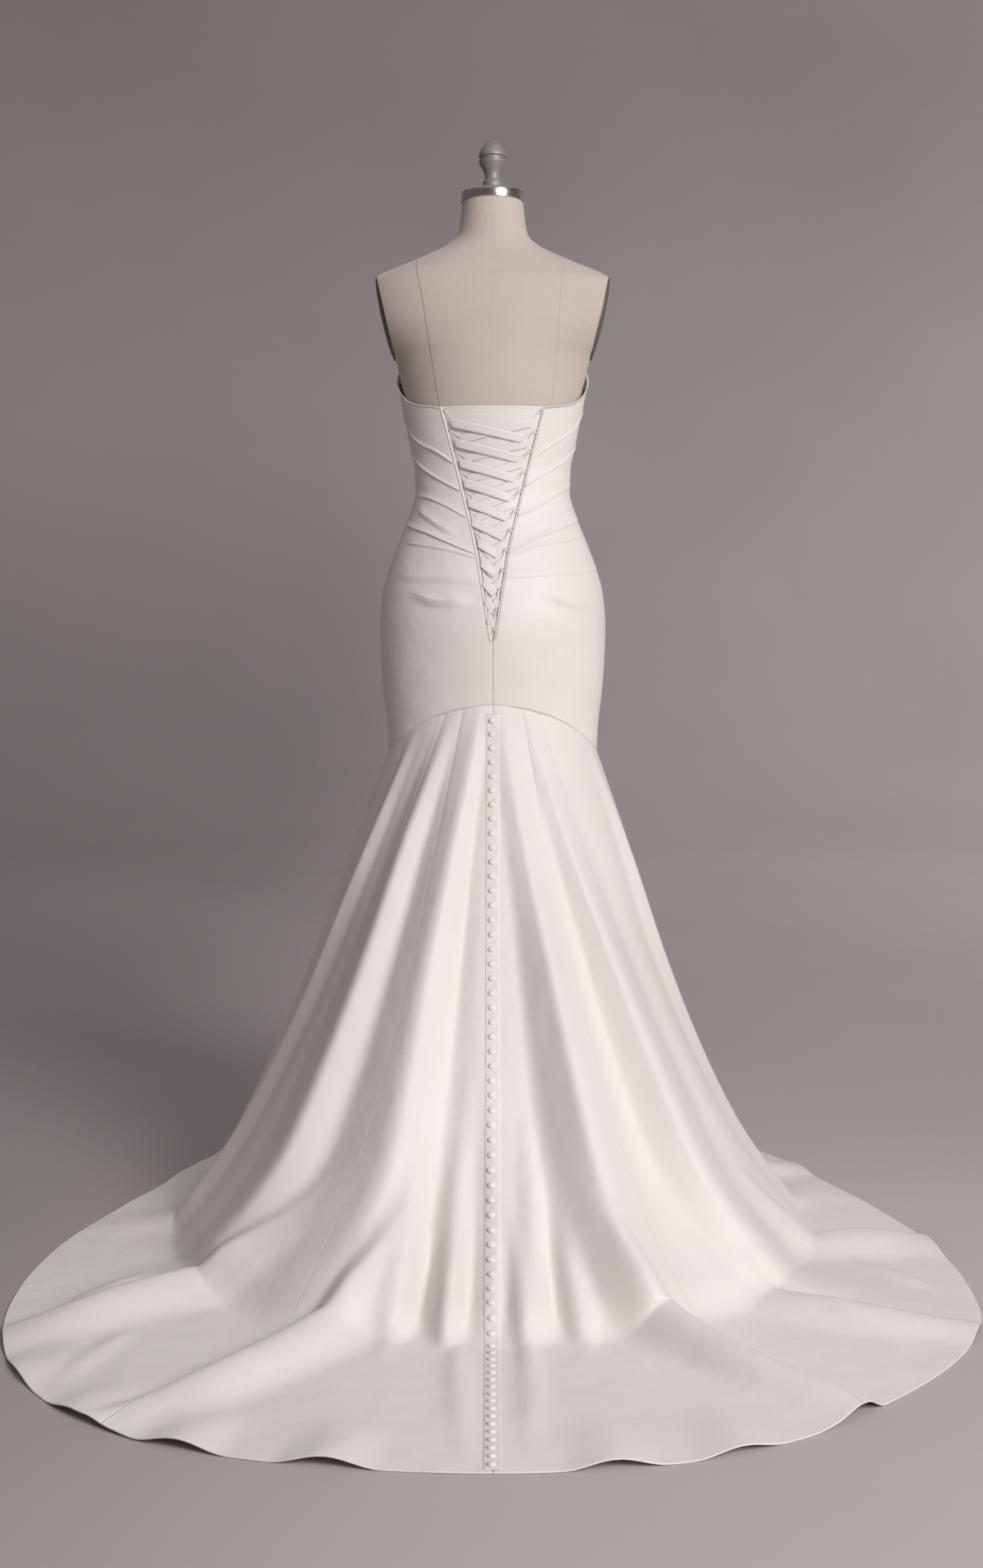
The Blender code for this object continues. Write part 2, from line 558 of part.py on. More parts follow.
def upper_panels(satin, group):
    for name, side in (("back_panel_left", 1), ("back_panel_right", -1)):
        panel(name, ("edge", "quarter", "side"), BACK_COLUMNS, back_turns(side), BACK_RELIEFS, satin, group)
    places = [1 - abs(1 - 2 * i / FRONT_COLUMNS) for i in range(FRONT_COLUMNS + 1)]
    reliefs = [BACK_RELIEFS[-1] + (1 - BACK_RELIEFS[-1]) * min(3 * place, 1) for place in places]
    panel("front_panel", ("side", "bust", "front"), places, front_turns, reliefs, satin, group)


def modesty_panel(satin, group):
    """The plain cloth behind the lacing, lapped under both back panels."""
    grids = []
    for out in (MODESTY_OUT, MODESTY_OUT + MODESTY_THICK):
        grid = []
        for i in range(MODESTY_ROWS + 1):
            z = MODESTY_TOP_Z + (MODESTY_BOTTOM_Z - MODESTY_TOP_Z) * i / MODESTY_ROWS
            reach = V_HALF(z) + MODESTY_LAP
            shares = [2 * j / MODESTY_COLUMNS - 1 for j in range(MODESTY_COLUMNS + 1)]
            grid.append([back_point(reach * share, z, out) for share in shares])
        grids.append(grid)
    return wall("modesty_panel", *grids, satin, group)


# ---------------------------------------------------------------- lacing


def loop_place(level, side):
    """A loop's height, the lacing edge there and the loop's far end."""
    z = LOOP_TOP_Z - level * LOOP_PITCH
    edge = V_HALF(z)
    return z, side * edge, side * (edge - min(LOOP_DEPTH, LOOP_SHARE * edge))


def strip_section(centre, wide, thick, width, thickness=LACE_THICK):
    """The four corners of a flat strip's section."""
    half_wide, half_thick = wide * width / 2, thick * thickness / 2
    return [
        centre - half_wide - half_thick,
        centre + half_wide - half_thick,
        centre + half_wide + half_thick,
        centre - half_wide + half_thick,
    ]


def loop_tape(name, side, satin, group):
    """The rolled binding of one lacing edge, with its loops of cord."""
    bm = bmesh.new()
    rings = []
    for i in range(BINDING_ROWS + 1):
        z = V_EDGES[-1].z + (BINDING_FOOT_Z - V_EDGES[-1].z) * i / BINDING_ROWS
        near_z = z - BINDING_FOOT_DROP if i == BINDING_ROWS else z
        near, far = side * V_HALF(near_z), side * (V_HALF(z) + BINDING_WIDTH)
        low, high = GOWN_OUT, GOWN_OUT + BINDING_THICK
        rings.append([back_point(near, near_z, low), back_point(far, z, low),
                      back_point(far, z, high), back_point(near, near_z, high)])
    loft(bm, rings)
    tape = add_object(name, bm, satin, group["parts"])
    bm = bmesh.new()
    for level in range(LOOPS):
        z, edge, end = loop_place(level, side)
        root = edge + side * LOOP_SUNK
        corners = ((root, LOOP_ROOT), (end, LOOP_END), (end, -LOOP_END), (root, -LOOP_ROOT))
        path = [back_point(across, z + up, CORD_OUT) for across, up in corners]
        normal = back_normal(end, z)
        outside = (back_point(end, z, CORD_OUT) - back_point(edge, z, CORD_OUT)).normalized()
        rings = []
        for i, point in enumerate(path):
            corner = i in (1, 2)
            up = Vector((0, 0, 1 if i < 2 else -1))
            wide = (outside + up).normalized() if corner else up
            width = LOOP_CORD * (LOOP_MITRE if corner else 1)
            rings.append(strip_section(point, wide, normal, width, LOOP_CORD))
        loft(bm, rings)
    loops = add_object(name + "_loops", bm, satin, group["cutters"])
    boolean(tape, loops, "UNION")
    return tape


def loop_turn(level, side):
    """Sections of a ribbon that turns over the end of a loop, from above to below."""
    z, edge, end = loop_place(level, side)
    normal = back_normal(end, z)
    outward = (back_point(edge, z, CORD_OUT) - back_point(end, z, CORD_OUT)).normalized()
    up = normal.cross(outward).normalized()
    up = up if up.z > 0 else -up
    centre = back_point(end, z, CORD_OUT)
    return [
        strip_section(centre + outward * across + normal * lift, up,
                      (outward * towards + normal * away).normalized(), LACE_NECK)
        for across, lift, towards, away in TURN_STEPS
    ]


def rung(level, side, over):
    """Sections of one ribbon between a loop and the next one down on the other side."""
    z_from, _, from_end = loop_place(level, side)
    z_to, _, to_end = loop_place(level + 1, -side)
    out = CORD_OUT + (LACE_LIFT if over else -LACE_LIFT)
    span = math.hypot(to_end - from_end, z_to - z_from)
    short = span < 4 * LACE_WIDTH
    shares = SHORT_RUNG_SHARES if short else RUNG_SHARES
    width = min(LACE_WIDTH, SHORT_RUNG_WIDTH * span)
    sections = []
    for share in shares:
        across, z = from_end + share * (to_end - from_end), z_from + share * (z_to - z_from)
        centre, normal = back_point(across, z, out), back_normal(across, z)
        ahead = back_point(across + (to_end - from_end) * STEP, z + (z_to - z_from) * STEP, out) - centre
        wide = normal.cross(ahead).normalized()
        wide = wide if wide.z > 0 else -wide
        full = min(1.0, min(share, 1 - share) / shares[1])
        sections.append(strip_section(centre, wide, normal if over else -normal,
                                      LACE_NECK + (width - LACE_NECK) * full))
    return sections


def lace(name, first_side, satin, group):
    """One ribbon down the V. It passes over towards the wearer's right and under towards the left."""
    over = first_side > 0
    side = first_side
    start = loop_turn(0, side)
    sections = start[::-1] if over else start
    for level in range(LOOPS - 1):
        sections += rung(level, side, over)
        side = -side
        turn = loop_turn(level + 1, side)
        sections += turn if over else turn[::-1]
        over = not over
    bm = bmesh.new()
    loft(bm, sections)
    return add_object(name, bm, satin, group)


# ---------------------------------------------------------------- the skirt


def gore(name, low, high, columns, satin, group):
    """One gore between two seams, whose azimuths in radians low and high give from v."""
    inner, outer = [], []
    for v in SKIRT_ROWS:
        base = skirt_base(low(v), v)
        gap = SEAM_GAP / 2 / math.hypot(base.x, base.y)
        start, end = low(v) + gap, high(v) - gap
        azimuths = [start + (end - start) * i / columns for i in range(columns + 1)]
        inner.append([skirt_point(azimuth, v, 0) for azimuth in azimuths])
        outer.append([skirt_point(azimuth, v, CLOTH) for azimuth in azimuths])
    return wall(name, inner, outer, satin, group)


def seam_track(seam, sign=1, whole_turns=0):
    """A seam's azimuth in radians as a function of v."""
    track = stations(seam)
    return lambda v: math.radians(sign * track(v) + 360 * whole_turns)


def skirt(satin, group):
    seams = (CENTRE_SEAM, BACK_SEAM, SIDE_BACK_SEAM, SIDE_FRONT_SEAM)
    counts = (BACK_COLUMN_COUNT, MID_COLUMN_COUNT, SIDE_COLUMN_COUNT)
    for kind, near, far, count in zip(("back", "mid", "side"), seams, seams[1:], counts):
        gore(f"skirt_{kind}_left", seam_track(near), seam_track(far), count, satin, group)
        gore(f"skirt_{kind}_right", seam_track(far, -1), seam_track(near, -1), count, satin, group)
    last = seams[-1]
    gore("skirt_front", seam_track(last), seam_track(last, -1, 1), FRONT_COLUMN_COUNT, satin, group)


def strip_point(across, v, out):
    """A point of the buttoned strip, from the skirt's own points moved out."""
    radius = skirt_base(0, v).y
    return skirt_point(math.asin(across / radius), v, CLOTH + PLACKET_GAP + out)


def button_placket(satin, group):
    """The strip over the centre-back seam, and its covered buttons."""
    rows = (PLACKET_TOP_V, *SKIRT_ROWS[1:-1], PLACKET_FOOT_V)
    edges = (-PLACKET_WIDTH / 2, 0.0, PLACKET_WIDTH / 2)
    inner = [[strip_point(across, v, 0) for across in edges] for v in rows]
    outer = [[strip_point(across, v, PLACKET_THICK) for across in edges] for v in rows]
    strip = wall("button_placket", inner, outer, satin, group["parts"])
    line = [row[1] for row in outer]
    lengths = [(b - a).length for a, b in zip(line, line[1:])]
    pitch = sum(lengths) / BUTTONS
    bm = bmesh.new()
    for k in range(BUTTONS):
        place, i = (k + 0.5) * pitch, 0
        while place > lengths[i]:
            place -= lengths[i]
            i += 1
        along = (line[i + 1] - line[i]).normalized()
        out = Vector((1, 0, 0)).cross(along).normalized()
        out = out if out.z + out.y > 0 else -out
        centre = line[i] + along * place + out * (BUTTON_HEIGHT / 2 - BUTTON_SINK)
        centre.x += BUTTON_ACROSS
        frame = Matrix((Vector((1, 0, 0)), out.cross(Vector((1, 0, 0))), out)).transposed().to_4x4()
        bmesh.ops.create_cone(
            bm, cap_ends=True, segments=5, radius1=BUTTON_RADIUS, radius2=BUTTON_TOP,
            depth=BUTTON_HEIGHT, matrix=Matrix.Translation(centre) @ frame,
        )
    buttons = add_object("buttons", bm, satin, group["cutters"])
    boolean(strip, buttons, "UNION")
    return strip


# ---------------------------------------------------------------- the dress form and its stand


def arm_frame(side):
    """The armhole's plane: its middle, its way up and its way out."""
    top = Vector((side * ARM_TOP[0], 0, ARM_TOP[1]))
    foot = Vector((side * ARM_FOOT[0], 0, ARM_FOOT[1]))
    up = (top - foot).normalized()
    return (top + foot) / 2, up, Vector((side * up.z, 0, -side * up.x))


def form_torso(linen, group):
    """The padded torso, closed at the hips and cut flat at the armholes."""
    heights = [s.z for s in FIGURE if TORSO_BOTTOM_Z <= s.z]
    rings = []
    for z in heights:
        tilt = NECK_LEAN * min(max((z - LEAN_START_Z) / (TORSO_TOP_Z - LEAN_START_Z), 0), 1)
        ring = []
        for i in range(TORSO_COLUMNS):
            point = body_point(2 * math.pi * (i + 0.5) / TORSO_COLUMNS, z, TORSO_OUT)
            point.z += (point.y - FIGURE_AT["centre"](z)) * math.tan(tilt)
            ring.append(point)
        rings.append(ring)
    bm = bmesh.new()
    loft(bm, rings)
    torso = add_object("form_torso", bm, linen, group["parts"])
    for name, side in (("left", 1), ("right", -1)):
        middle, up, outward = arm_frame(side)
        bm = bmesh.new()
        bmesh.ops.create_cube(bm, size=1)
        cutter = add_object("arm_cut_" + name, bm, linen, group["cutters"])
        tall = (Vector(ARM_TOP) - Vector(ARM_FOOT)).length + ARM_CUT_SPARE
        cutter.scale = (ARM_CUT_WIDE, ARM_CUT_DEEP, tall)
        cutter.rotation_euler = (0, side * math.atan2(side * up.x, up.z), 0)
        cutter.location = middle + outward * ARM_CUT_WIDE / 2
        boolean(torso, cutter, "DIFFERENCE")
    return torso


def arm_plate(name, side, metal, group):
    """The domed plate that closes one armhole."""
    middle, up, outward = arm_frame(side)
    bm = bmesh.new()
    bmesh.ops.create_uvsphere(bm, u_segments=16, v_segments=6, radius=1)
    bmesh.ops.bisect_plane(bm, geom=bm.verts[:] + bm.edges[:] + bm.faces[:], plane_co=(0, 0, 0),
                           plane_no=(0, 0, 1), clear_inner=True)
    bmesh.ops.holes_fill(bm, edges=[e for e in bm.edges if e.is_boundary])
    sizes = Matrix.Diagonal((ARM_PLATE_TALL, ARM_PLATE_DEEP, ARM_PLATE_THICK, 1))
    frame = Matrix((up, outward.cross(up), outward)).transposed().to_4x4()
    bmesh.ops.transform(bm, matrix=Matrix.Translation(middle + outward * SEAM_GAP) @ frame @ sizes,
                        verts=bm.verts[:])
    bmesh.ops.recalc_face_normals(bm, faces=bm.faces[:])
    return add_object(name, bm, metal, group)


def neck_fittings(metal, group):
    """The metal cap of the neck and the turned finial on it, leaning with the neck."""
    cap = turned("form_neck_cap", (
        (0, CAP_HEIGHT), (CAP_RADIUS - 0.002, CAP_HEIGHT), (CAP_RADIUS, CAP_HEIGHT - 0.0015),
        (CAP_RADIUS, 0.0), (0, 0.0),
    ), metal, group)
    finial = turned("form_finial", (
        (0, 0.0835), (0.0080, 0.0808), (0.0135, 0.0756), (0.0180, 0.0690), (0.0220, 0.0574),
        (0.0188, 0.0560), (0.0188, 0.0512), (0.0220, 0.0490), (0.0176, 0.0400), (0.0125, 0.0292),
        (0.0123, 0.0200), (0.0153, 0.0170), (0.0153, 0.0090), (0.0200, 0.0040), (0.0200, 0.0), (0, 0.0),
    ), metal, group, steps=16)
    neck = Vector((0, FIGURE_AT["centre"](TORSO_TOP_Z), TORSO_TOP_Z))
    upward = Vector((0, -math.sin(NECK_LEAN), math.cos(NECK_LEAN)))
    cap.location = neck + upward * SEAM_GAP
    finial.location = neck + upward * (CAP_HEIGHT + 2 * SEAM_GAP)
    cap.rotation_euler = finial.rotation_euler = (NECK_LEAN, 0, 0)


def stand(metal, group):
    """The pole under the torso, and the round foot that it stands on."""
    turned("stand_base", (
        (0, HUB_HEIGHT), (HUB_RADIUS, HUB_HEIGHT), (HUB_RADIUS + 0.002, BASE_HEIGHT + 0.006),
        (HUB_RADIUS + 0.010, BASE_HEIGHT), (BASE_RADIUS - 0.004, BASE_HEIGHT),
        (BASE_RADIUS, BASE_HEIGHT - 0.004), (BASE_RADIUS, 0), (0, 0),
    ), metal, group, steps=32)
    bm = bmesh.new()
    bottom, top = HUB_HEIGHT + SEAM_GAP, TORSO_BOTTOM_Z - SEAM_GAP
    bmesh.ops.create_cone(bm, cap_ends=True, segments=16, radius1=POLE_RADIUS, radius2=POLE_RADIUS,
                          depth=top - bottom)
    pole = add_object("stand_pole", bm, metal, group)
    pole.location.z = (bottom + top) / 2


def main():
    clear_scene()
    group = {"parts": collection("wedding_dress"), "cutters": collection("cutters")}
    parts = group["parts"]
    satin = finish("ivory_satin", (0.86, 0.83, 0.79), 0.42)
    ribbon = finish("ivory_ribbon", (0.84, 0.80, 0.77), 0.38)
    linen = finish("linen", (0.62, 0.56, 0.49), 0.85)
    metal = finish("brushed_metal", (0.55, 0.54, 0.52), 0.38, 1.0)
    dark = finish("dark_plate", (0.12, 0.11, 0.11), 0.45, 0.6)
    steel = finish("stand_steel", (0.10, 0.10, 0.10), 0.40, 0.8)
    upper_panels(satin, parts)
    modesty_panel(satin, parts)
    loop_tape("loop_tape_left", 1, satin, group)
    loop_tape("loop_tape_right", -1, satin, group)
    lace("lace_a", 1, ribbon, parts)
    lace("lace_b", -1, ribbon, parts)
    skirt(satin, parts)
    button_placket(satin, group)
    form_torso(linen, group)
    arm_plate("arm_plate_left", 1, dark, parts)
    arm_plate("arm_plate_right", -1, dark, parts)
    neck_fittings(metal, parts)
    stand(steel, parts)


if __name__ == "__main__":
    main()
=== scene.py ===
# %% [markdown]
# # A wedding dress on a dress form
# This is a strapless trumpet gown of ivory satin, laced at the back, with a chapel train. It stands on a
# limbless linen form. A gown like this could be made from a high scan or from a cloth simulation. Here each
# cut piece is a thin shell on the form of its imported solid, because the shell then keeps the pattern maker's
# sizes, and every fold can be placed where it belongs. Sizes are metres, +Z is up, and the train lies to +Y.

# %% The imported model
import math

import bmesh
import bpy
import numpy as np
from mathutils import Matrix, Vector


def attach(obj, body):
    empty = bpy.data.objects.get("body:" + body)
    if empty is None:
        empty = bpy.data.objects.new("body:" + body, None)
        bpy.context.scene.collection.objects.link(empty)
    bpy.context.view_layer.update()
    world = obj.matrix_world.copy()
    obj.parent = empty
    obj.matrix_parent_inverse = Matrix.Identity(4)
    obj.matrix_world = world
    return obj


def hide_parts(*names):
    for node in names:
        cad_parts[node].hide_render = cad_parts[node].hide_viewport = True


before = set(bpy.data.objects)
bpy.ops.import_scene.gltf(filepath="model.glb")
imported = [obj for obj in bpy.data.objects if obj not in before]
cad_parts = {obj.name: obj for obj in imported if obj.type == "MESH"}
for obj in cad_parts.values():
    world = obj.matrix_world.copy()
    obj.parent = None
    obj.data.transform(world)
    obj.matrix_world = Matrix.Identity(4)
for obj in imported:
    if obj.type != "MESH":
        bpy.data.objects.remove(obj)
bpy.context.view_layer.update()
BODY = "root"

# %% [markdown]
# ## Camera
# A long lens at chest height, tipped a little down, keeps the upright lines of the gown straight. The tilt is
# done with the camera's pitch and not with a lens shift, so that other views of the model stay plain.

# %% Camera
CAMERA_PLACE = (0.0, 3.49, 0.95)
CAMERA_PITCH, CAMERA_YAW = math.radians(4.854), math.radians(0.03)
LENS, SENSOR_HEIGHT = 50, 36


def in_scene(name, data):
    """A new object for a mesh, a lamp or a camera."""
    obj = bpy.data.objects.new(name, data)
    bpy.context.scene.collection.objects.link(obj)
    return obj


camera = in_scene("camera", bpy.data.cameras.new("camera"))
camera.data.lens = LENS
camera.data.sensor_fit = "VERTICAL"
camera.data.sensor_height = SENSOR_HEIGHT
camera.location = CAMERA_PLACE
camera.rotation_euler = (math.pi / 2 - CAMERA_PITCH, 0, math.pi + CAMERA_YAW)
bpy.context.scene.camera = camera
print("camera at", CAMERA_PLACE)

# %% [markdown]
# ## Studio
# The floor and the wall are one sweep of paper, so no corner shows behind the dress. It is a profile spun
# into a wide round room, which looks the same from every side. A large soft lamp stands high up to the
# camera's right, a weaker one lights the wall behind, and the room's own even light fills the shadows.

# %% Studio sweep
ROOM_RADIUS, ROOM_BEND, ROOM_HEIGHT = 9.0, 4.0, 8.0
MERGE_DISTANCE = 1e-5


def finished_mesh(bm, name):
    """A smooth mesh from a bmesh, which is then freed."""
    mesh = bpy.data.meshes.new(name)
    bm.to_mesh(mesh)
    bm.free()
    mesh.shade_smooth()
    return mesh


def turned_mesh(name, profile, steps, fill=False):
    """A profile of (radius, height), from its foot up the outer side, spun round the Z axis."""
    bm = bmesh.new()
    verts = [bm.verts.new((radius, 0, height)) for radius, height in profile]
    edges = [bm.edges.new(pair) for pair in zip(verts, verts[1:])]
    bmesh.ops.spin(bm, geom=verts + edges, axis=(0, 0, 1), cent=(0, 0, 0), steps=steps,
                   angle=2 * math.pi, use_merge=True)
    bmesh.ops.remove_doubles(bm, verts=bm.verts[:], dist=MERGE_DISTANCE)
    if fill:
        bmesh.ops.holes_fill(bm, edges=[edge for edge in bm.edges if edge.is_boundary])
    bmesh.ops.recalc_face_normals(bm, faces=bm.faces[:])
    return finished_mesh(bm, name)


bend_turns = [math.radians(turn) for turn in range(0, 91, 5)]
bend = [(ROOM_RADIUS - ROOM_BEND + ROOM_BEND * math.sin(turn), ROOM_BEND - ROOM_BEND * math.cos(turn))
        for turn in bend_turns]
room_profile = [(0, 0), *bend, (ROOM_RADIUS, ROOM_HEIGHT)]
sweep = in_scene("studio_sweep", turned_mesh("studio_sweep", room_profile, 96))
print("sweep faces:", len(sweep.data.polygons))

# %% Lamps
SOFT_WHITE, AIR_COLOUR, AIR_STRENGTH = (1.0, 0.995, 1.0), (1.0, 0.965, 0.985, 1), 0.42


def lamp(name, place, target, size, watts):
    """A rectangular soft box that faces its target."""
    obj = in_scene(name, bpy.data.lights.new(name, "AREA"))
    obj.data.shape = "RECTANGLE"
    obj.data.size, obj.data.size_y = size
    obj.data.energy = watts
    obj.data.color = SOFT_WHITE
    obj.location = place
    obj.rotation_euler = (Vector(target) - Vector(place)).to_track_quat("-Z", "Y").to_euler()


lamp("key_lamp", (-2.92, 4.58, 3.0), (0.0, 0.3, 0.8), (2.2, 2.4), 262)
lamp("wall_lamp", (-4.2, -2.6, 3.4), (-3.6, -8.5, 0.8), (2.5, 2.0), 90)
world = bpy.data.worlds.new("studio_air")
world.use_nodes = True
air = world.node_tree.nodes["Background"]
air.inputs["Color"].default_value = AIR_COLOUR
air.inputs["Strength"].default_value = AIR_STRENGTH
bpy.context.scene.world = world
bpy.context.scene.view_settings.view_transform = "Standard"
print("strength of the room's own light:", AIR_STRENGTH)

# %% [markdown]
# ## Cloth and metal finishes
# Satin shows its threads only near by. From further off it is a smooth cloth with a broad soft gleam, whose
# tone wanders a little. One node group draws threads that cross at right angles on the cut piece's own
# metres, and a second one makes the slow changes of tone and the small rumples. Both put out masks and
# heights alone, so each material keeps its own shader.

# %% Node helpers


def new_group(name, inputs, outputs):
    """An empty shader node group with named sockets, and its input and output nodes."""
    group = bpy.data.node_groups.new(name, "ShaderNodeTree")
    for socket, kind, value in inputs:
        made = group.interface.new_socket(name=socket, in_out="INPUT", socket_type=kind)
        if value is not None:
            made.default_value = value
    for socket, kind in outputs:
        group.interface.new_socket(name=socket, in_out="OUTPUT", socket_type=kind)
    return group, group.nodes.new("NodeGroupInput"), group.nodes.new("NodeGroupOutput")


def maths(tree, operation, first, second=None):
    """A Math node. Each operand is a number or a socket."""
    node = tree.nodes.new("ShaderNodeMath")
    node.operation = operation
    for socket, value in zip(node.inputs, (first, second)):
        if isinstance(value, bpy.types.NodeSocket):
            tree.links.new(value, socket)
        elif value is not None:
            socket.default_value = value
    return node.outputs[0]


def noise(tree, vector, scale, detail=3.0, roughness=0.5):
    """A Noise node's value."""
    node = tree.nodes.new("ShaderNodeTexNoise")
    node.inputs["Scale"].default_value = scale
    node.inputs["Detail"].default_value = detail
    node.inputs["Roughness"].default_value = roughness
    tree.links.new(vector, node.inputs["Vector"])
    return node.outputs[0]


def map_range(tree, value, limits, smooth=False):
    """A value brought from one range to another. Limits: two values, and what they become."""
    node = tree.nodes.new("ShaderNodeMapRange")
    node.interpolation_type = "SMOOTHSTEP" if smooth else "LINEAR"
    for socket, limit in zip(("From Min", "From Max", "To Min", "To Max"), limits):
        node.inputs[socket].default_value = limit
    tree.links.new(value, node.inputs["Value"])
    return node.outputs["Result"]


def spread_value(tree, value, low, high):
    """A noise's value brought between two numbers."""
    return map_range(tree, value, (0.3, 0.7, low, high))


def parts(tree, vector):
    """The three parts of a vector."""
    node = tree.nodes.new("ShaderNodeSeparateXYZ")
    tree.links.new(vector, node.inputs[0])
    return node.outputs


def stretched(tree, vector, scale):
    """A vector with its axes scaled."""
    node = tree.nodes.new("ShaderNodeMapping")
    node.inputs["Scale"].default_value = scale
    tree.links.new(vector, node.inputs["Vector"])
    return node.outputs[0]


# %% Thread and tone groups


def thread_group():
    """Two sets of crossing threads. The vector is metres on the cut piece."""
    group, into, out = new_group(
        "threads",
        [("Vector", "NodeSocketVector", None), ("Threads per metre", "NodeSocketFloat", 4000.0),
         ("Unevenness", "NodeSocketFloat", 0.5)],
        [("Height", "NodeSocketFloat"), ("Slub", "NodeSocketFloat")],
    )
    vector = into.outputs["Vector"]
    waves, slubs = [], []
    for place, stretch in zip(parts(group, vector), ((60.0, 3.0, 1.0), (3.0, 60.0, 1.0))):
        turns = maths(group, "MULTIPLY", place, into.outputs["Threads per metre"])
        waves.append(maths(group, "SINE", maths(group, "MULTIPLY", turns, 2 * math.pi)))
        slubs.append(noise(group, stretched(group, vector, stretch), 9.0, 4.0, 0.6))
    slub = maths(group, "MULTIPLY", maths(group, "ADD", *slubs), 0.5)
    uneven = maths(group, "MULTIPLY", slub, into.outputs["Unevenness"])
    threads = maths(group, "MULTIPLY", maths(group, "ADD", *waves), 0.25)
    group.links.new(maths(group, "ADD", threads, uneven), out.inputs["Height"])
    group.links.new(slub, out.inputs["Slub"])
    return group


def wander_group():
    """Slow changes of tone, and the small rumples that handling leaves."""
    group, into, out = new_group(
        "wander",
        [("Vector", "NodeSocketVector", None), ("Rumple size", "NodeSocketFloat", 14.0)],
        [("Tone", "NodeSocketFloat"), ("Rumple", "NodeSocketFloat")],
    )
    vector = into.outputs["Vector"]
    group.links.new(noise(group, vector, 3.0, 2.0), out.inputs["Tone"])
    rumple = noise(group, vector, 14.0, 2.0)
    group.links.new(into.outputs["Rumple size"], rumple.node.inputs["Scale"])
    group.links.new(rumple, out.inputs["Rumple"])
    return group


THREADS, WANDER = thread_group(), wander_group()
print("node groups:", THREADS.name, WANDER.name)

# %% Material helpers


def new_material(name):
    """A material, its node tree and its shader."""
    material = bpy.data.materials.new(name)
    material.use_nodes = True
    return material, material.node_tree, material.node_tree.nodes["Principled BSDF"]


def object_place(tree):
    """A point's place on the whole dress."""
    return tree.nodes.new("ShaderNodeTexCoord").outputs["Object"]


def piece_map(tree, name):
    """A point's place on one of the piece's own maps."""
    node = tree.nodes.new("ShaderNodeUVMap")
    node.uv_map = name
    return node.outputs[0]


def placed_group(tree, group, vector, values):
    """A node group with its own values."""
    node = tree.nodes.new("ShaderNodeGroup")
    node.node_tree = group
    for socket, value in values.items():
        node.inputs[socket].default_value = value
    tree.links.new(vector, node.inputs["Vector"])
    return node.outputs


def mixed(tree, factor, low, high):
    """A colour between two, by a value from 0 to 1."""
    mix = tree.nodes.new("ShaderNodeMix")
    mix.data_type = "RGBA"
    mix.inputs[6].default_value = (*low, 1)
    mix.inputs[7].default_value = (*high, 1)
    tree.links.new(factor, mix.inputs[0])
    return mix.outputs[2]


def dimmed(tree, colour, share):
    """A colour times a value."""
    node = tree.nodes.new("ShaderNodeVectorMath")
    node.operation = "SCALE"
    tree.links.new(colour, node.inputs[0])
    tree.links.new(share, node.inputs["Scale"])
    return node.outputs[0]


def bump(tree, height, distance, strength, normal=None):
    """A Bump node's normal."""
    node = tree.nodes.new("ShaderNodeBump")
    node.inputs["Distance"].default_value = distance
    node.inputs["Strength"].default_value = strength
    tree.links.new(height, node.inputs["Height"])
    if normal is not None:
        tree.links.new(normal, node.inputs["Normal"])
    return node.outputs[0]


# %% Cloth materials


def cloth_material(name, low, high, roughness, sheen, threads, thread_depth, unevenness=0.5, rumple=14.0,
                   rumple_depth=0.0004):
    """A woven cloth. Low and high are its colours, and roughness is the range that its tone wanders in."""
    material, tree, shader = new_material(name)
    weave = placed_group(tree, THREADS, piece_map(tree, "metres"),
                         {"Threads per metre": threads, "Unevenness": unevenness})
    drift = placed_group(tree, WANDER, object_place(tree), {"Rumple size": rumple})
    tone = maths(tree, "ADD", maths(tree, "MULTIPLY", drift["Tone"], 0.6),
                 maths(tree, "MULTIPLY", weave["Slub"], 0.4))
    tree.links.new(mixed(tree, spread_value(tree, tone, 0.0, 1.0), low, high), shader.inputs["Base Color"])
    tree.links.new(spread_value(tree, drift["Tone"], *roughness), shader.inputs["Roughness"])
    rumpled = bump(tree, drift["Rumple"], rumple_depth, 1.0)
    tree.links.new(bump(tree, weave["Height"], thread_depth, 0.6, rumpled), shader.inputs["Normal"])
    shader.inputs["Sheen Weight"].default_value = sheen
    shader.inputs["Sheen Roughness"].default_value = 0.4
    return material


SATIN = cloth_material("ivory_satin", (0.78, 0.735, 0.695), (0.85, 0.81, 0.775), (0.46, 0.56), 0.10,
                       2600.0, 0.00003, rumple=18.0, rumple_depth=0.0025)
RIBBON = cloth_material("ivory_ribbon", (0.77, 0.72, 0.69), (0.84, 0.79, 0.76), (0.32, 0.40), 0.08,
                        3000.0, 0.00003)
LINEN = cloth_material("form_linen", (0.51, 0.44, 0.385), (0.65, 0.58, 0.52), (0.80, 0.92), 0.30,
                       700.0, 0.00012, unevenness=1.2, rumple=30.0, rumple_depth=0.0002)
print("cloth materials:", SATIN.name, RIBBON.name, LINEN.name)

# %% [markdown]
# ### Seams of the linen cover
# The form's linen has three long seams down its back, pressed so flat that they show as thin dark lines. They
# could be grooves, but the cloth there is thinner than a line is wide. So they are drawn in the colour:
# two by a map of the distance to them, which the torso carries, and one where the object's own X is 0.

# %% Seams of the linen cover
LINE_HALF_WIDTH, LINE_TONES = 0.0013, (0.50, 0.84, 0.93)


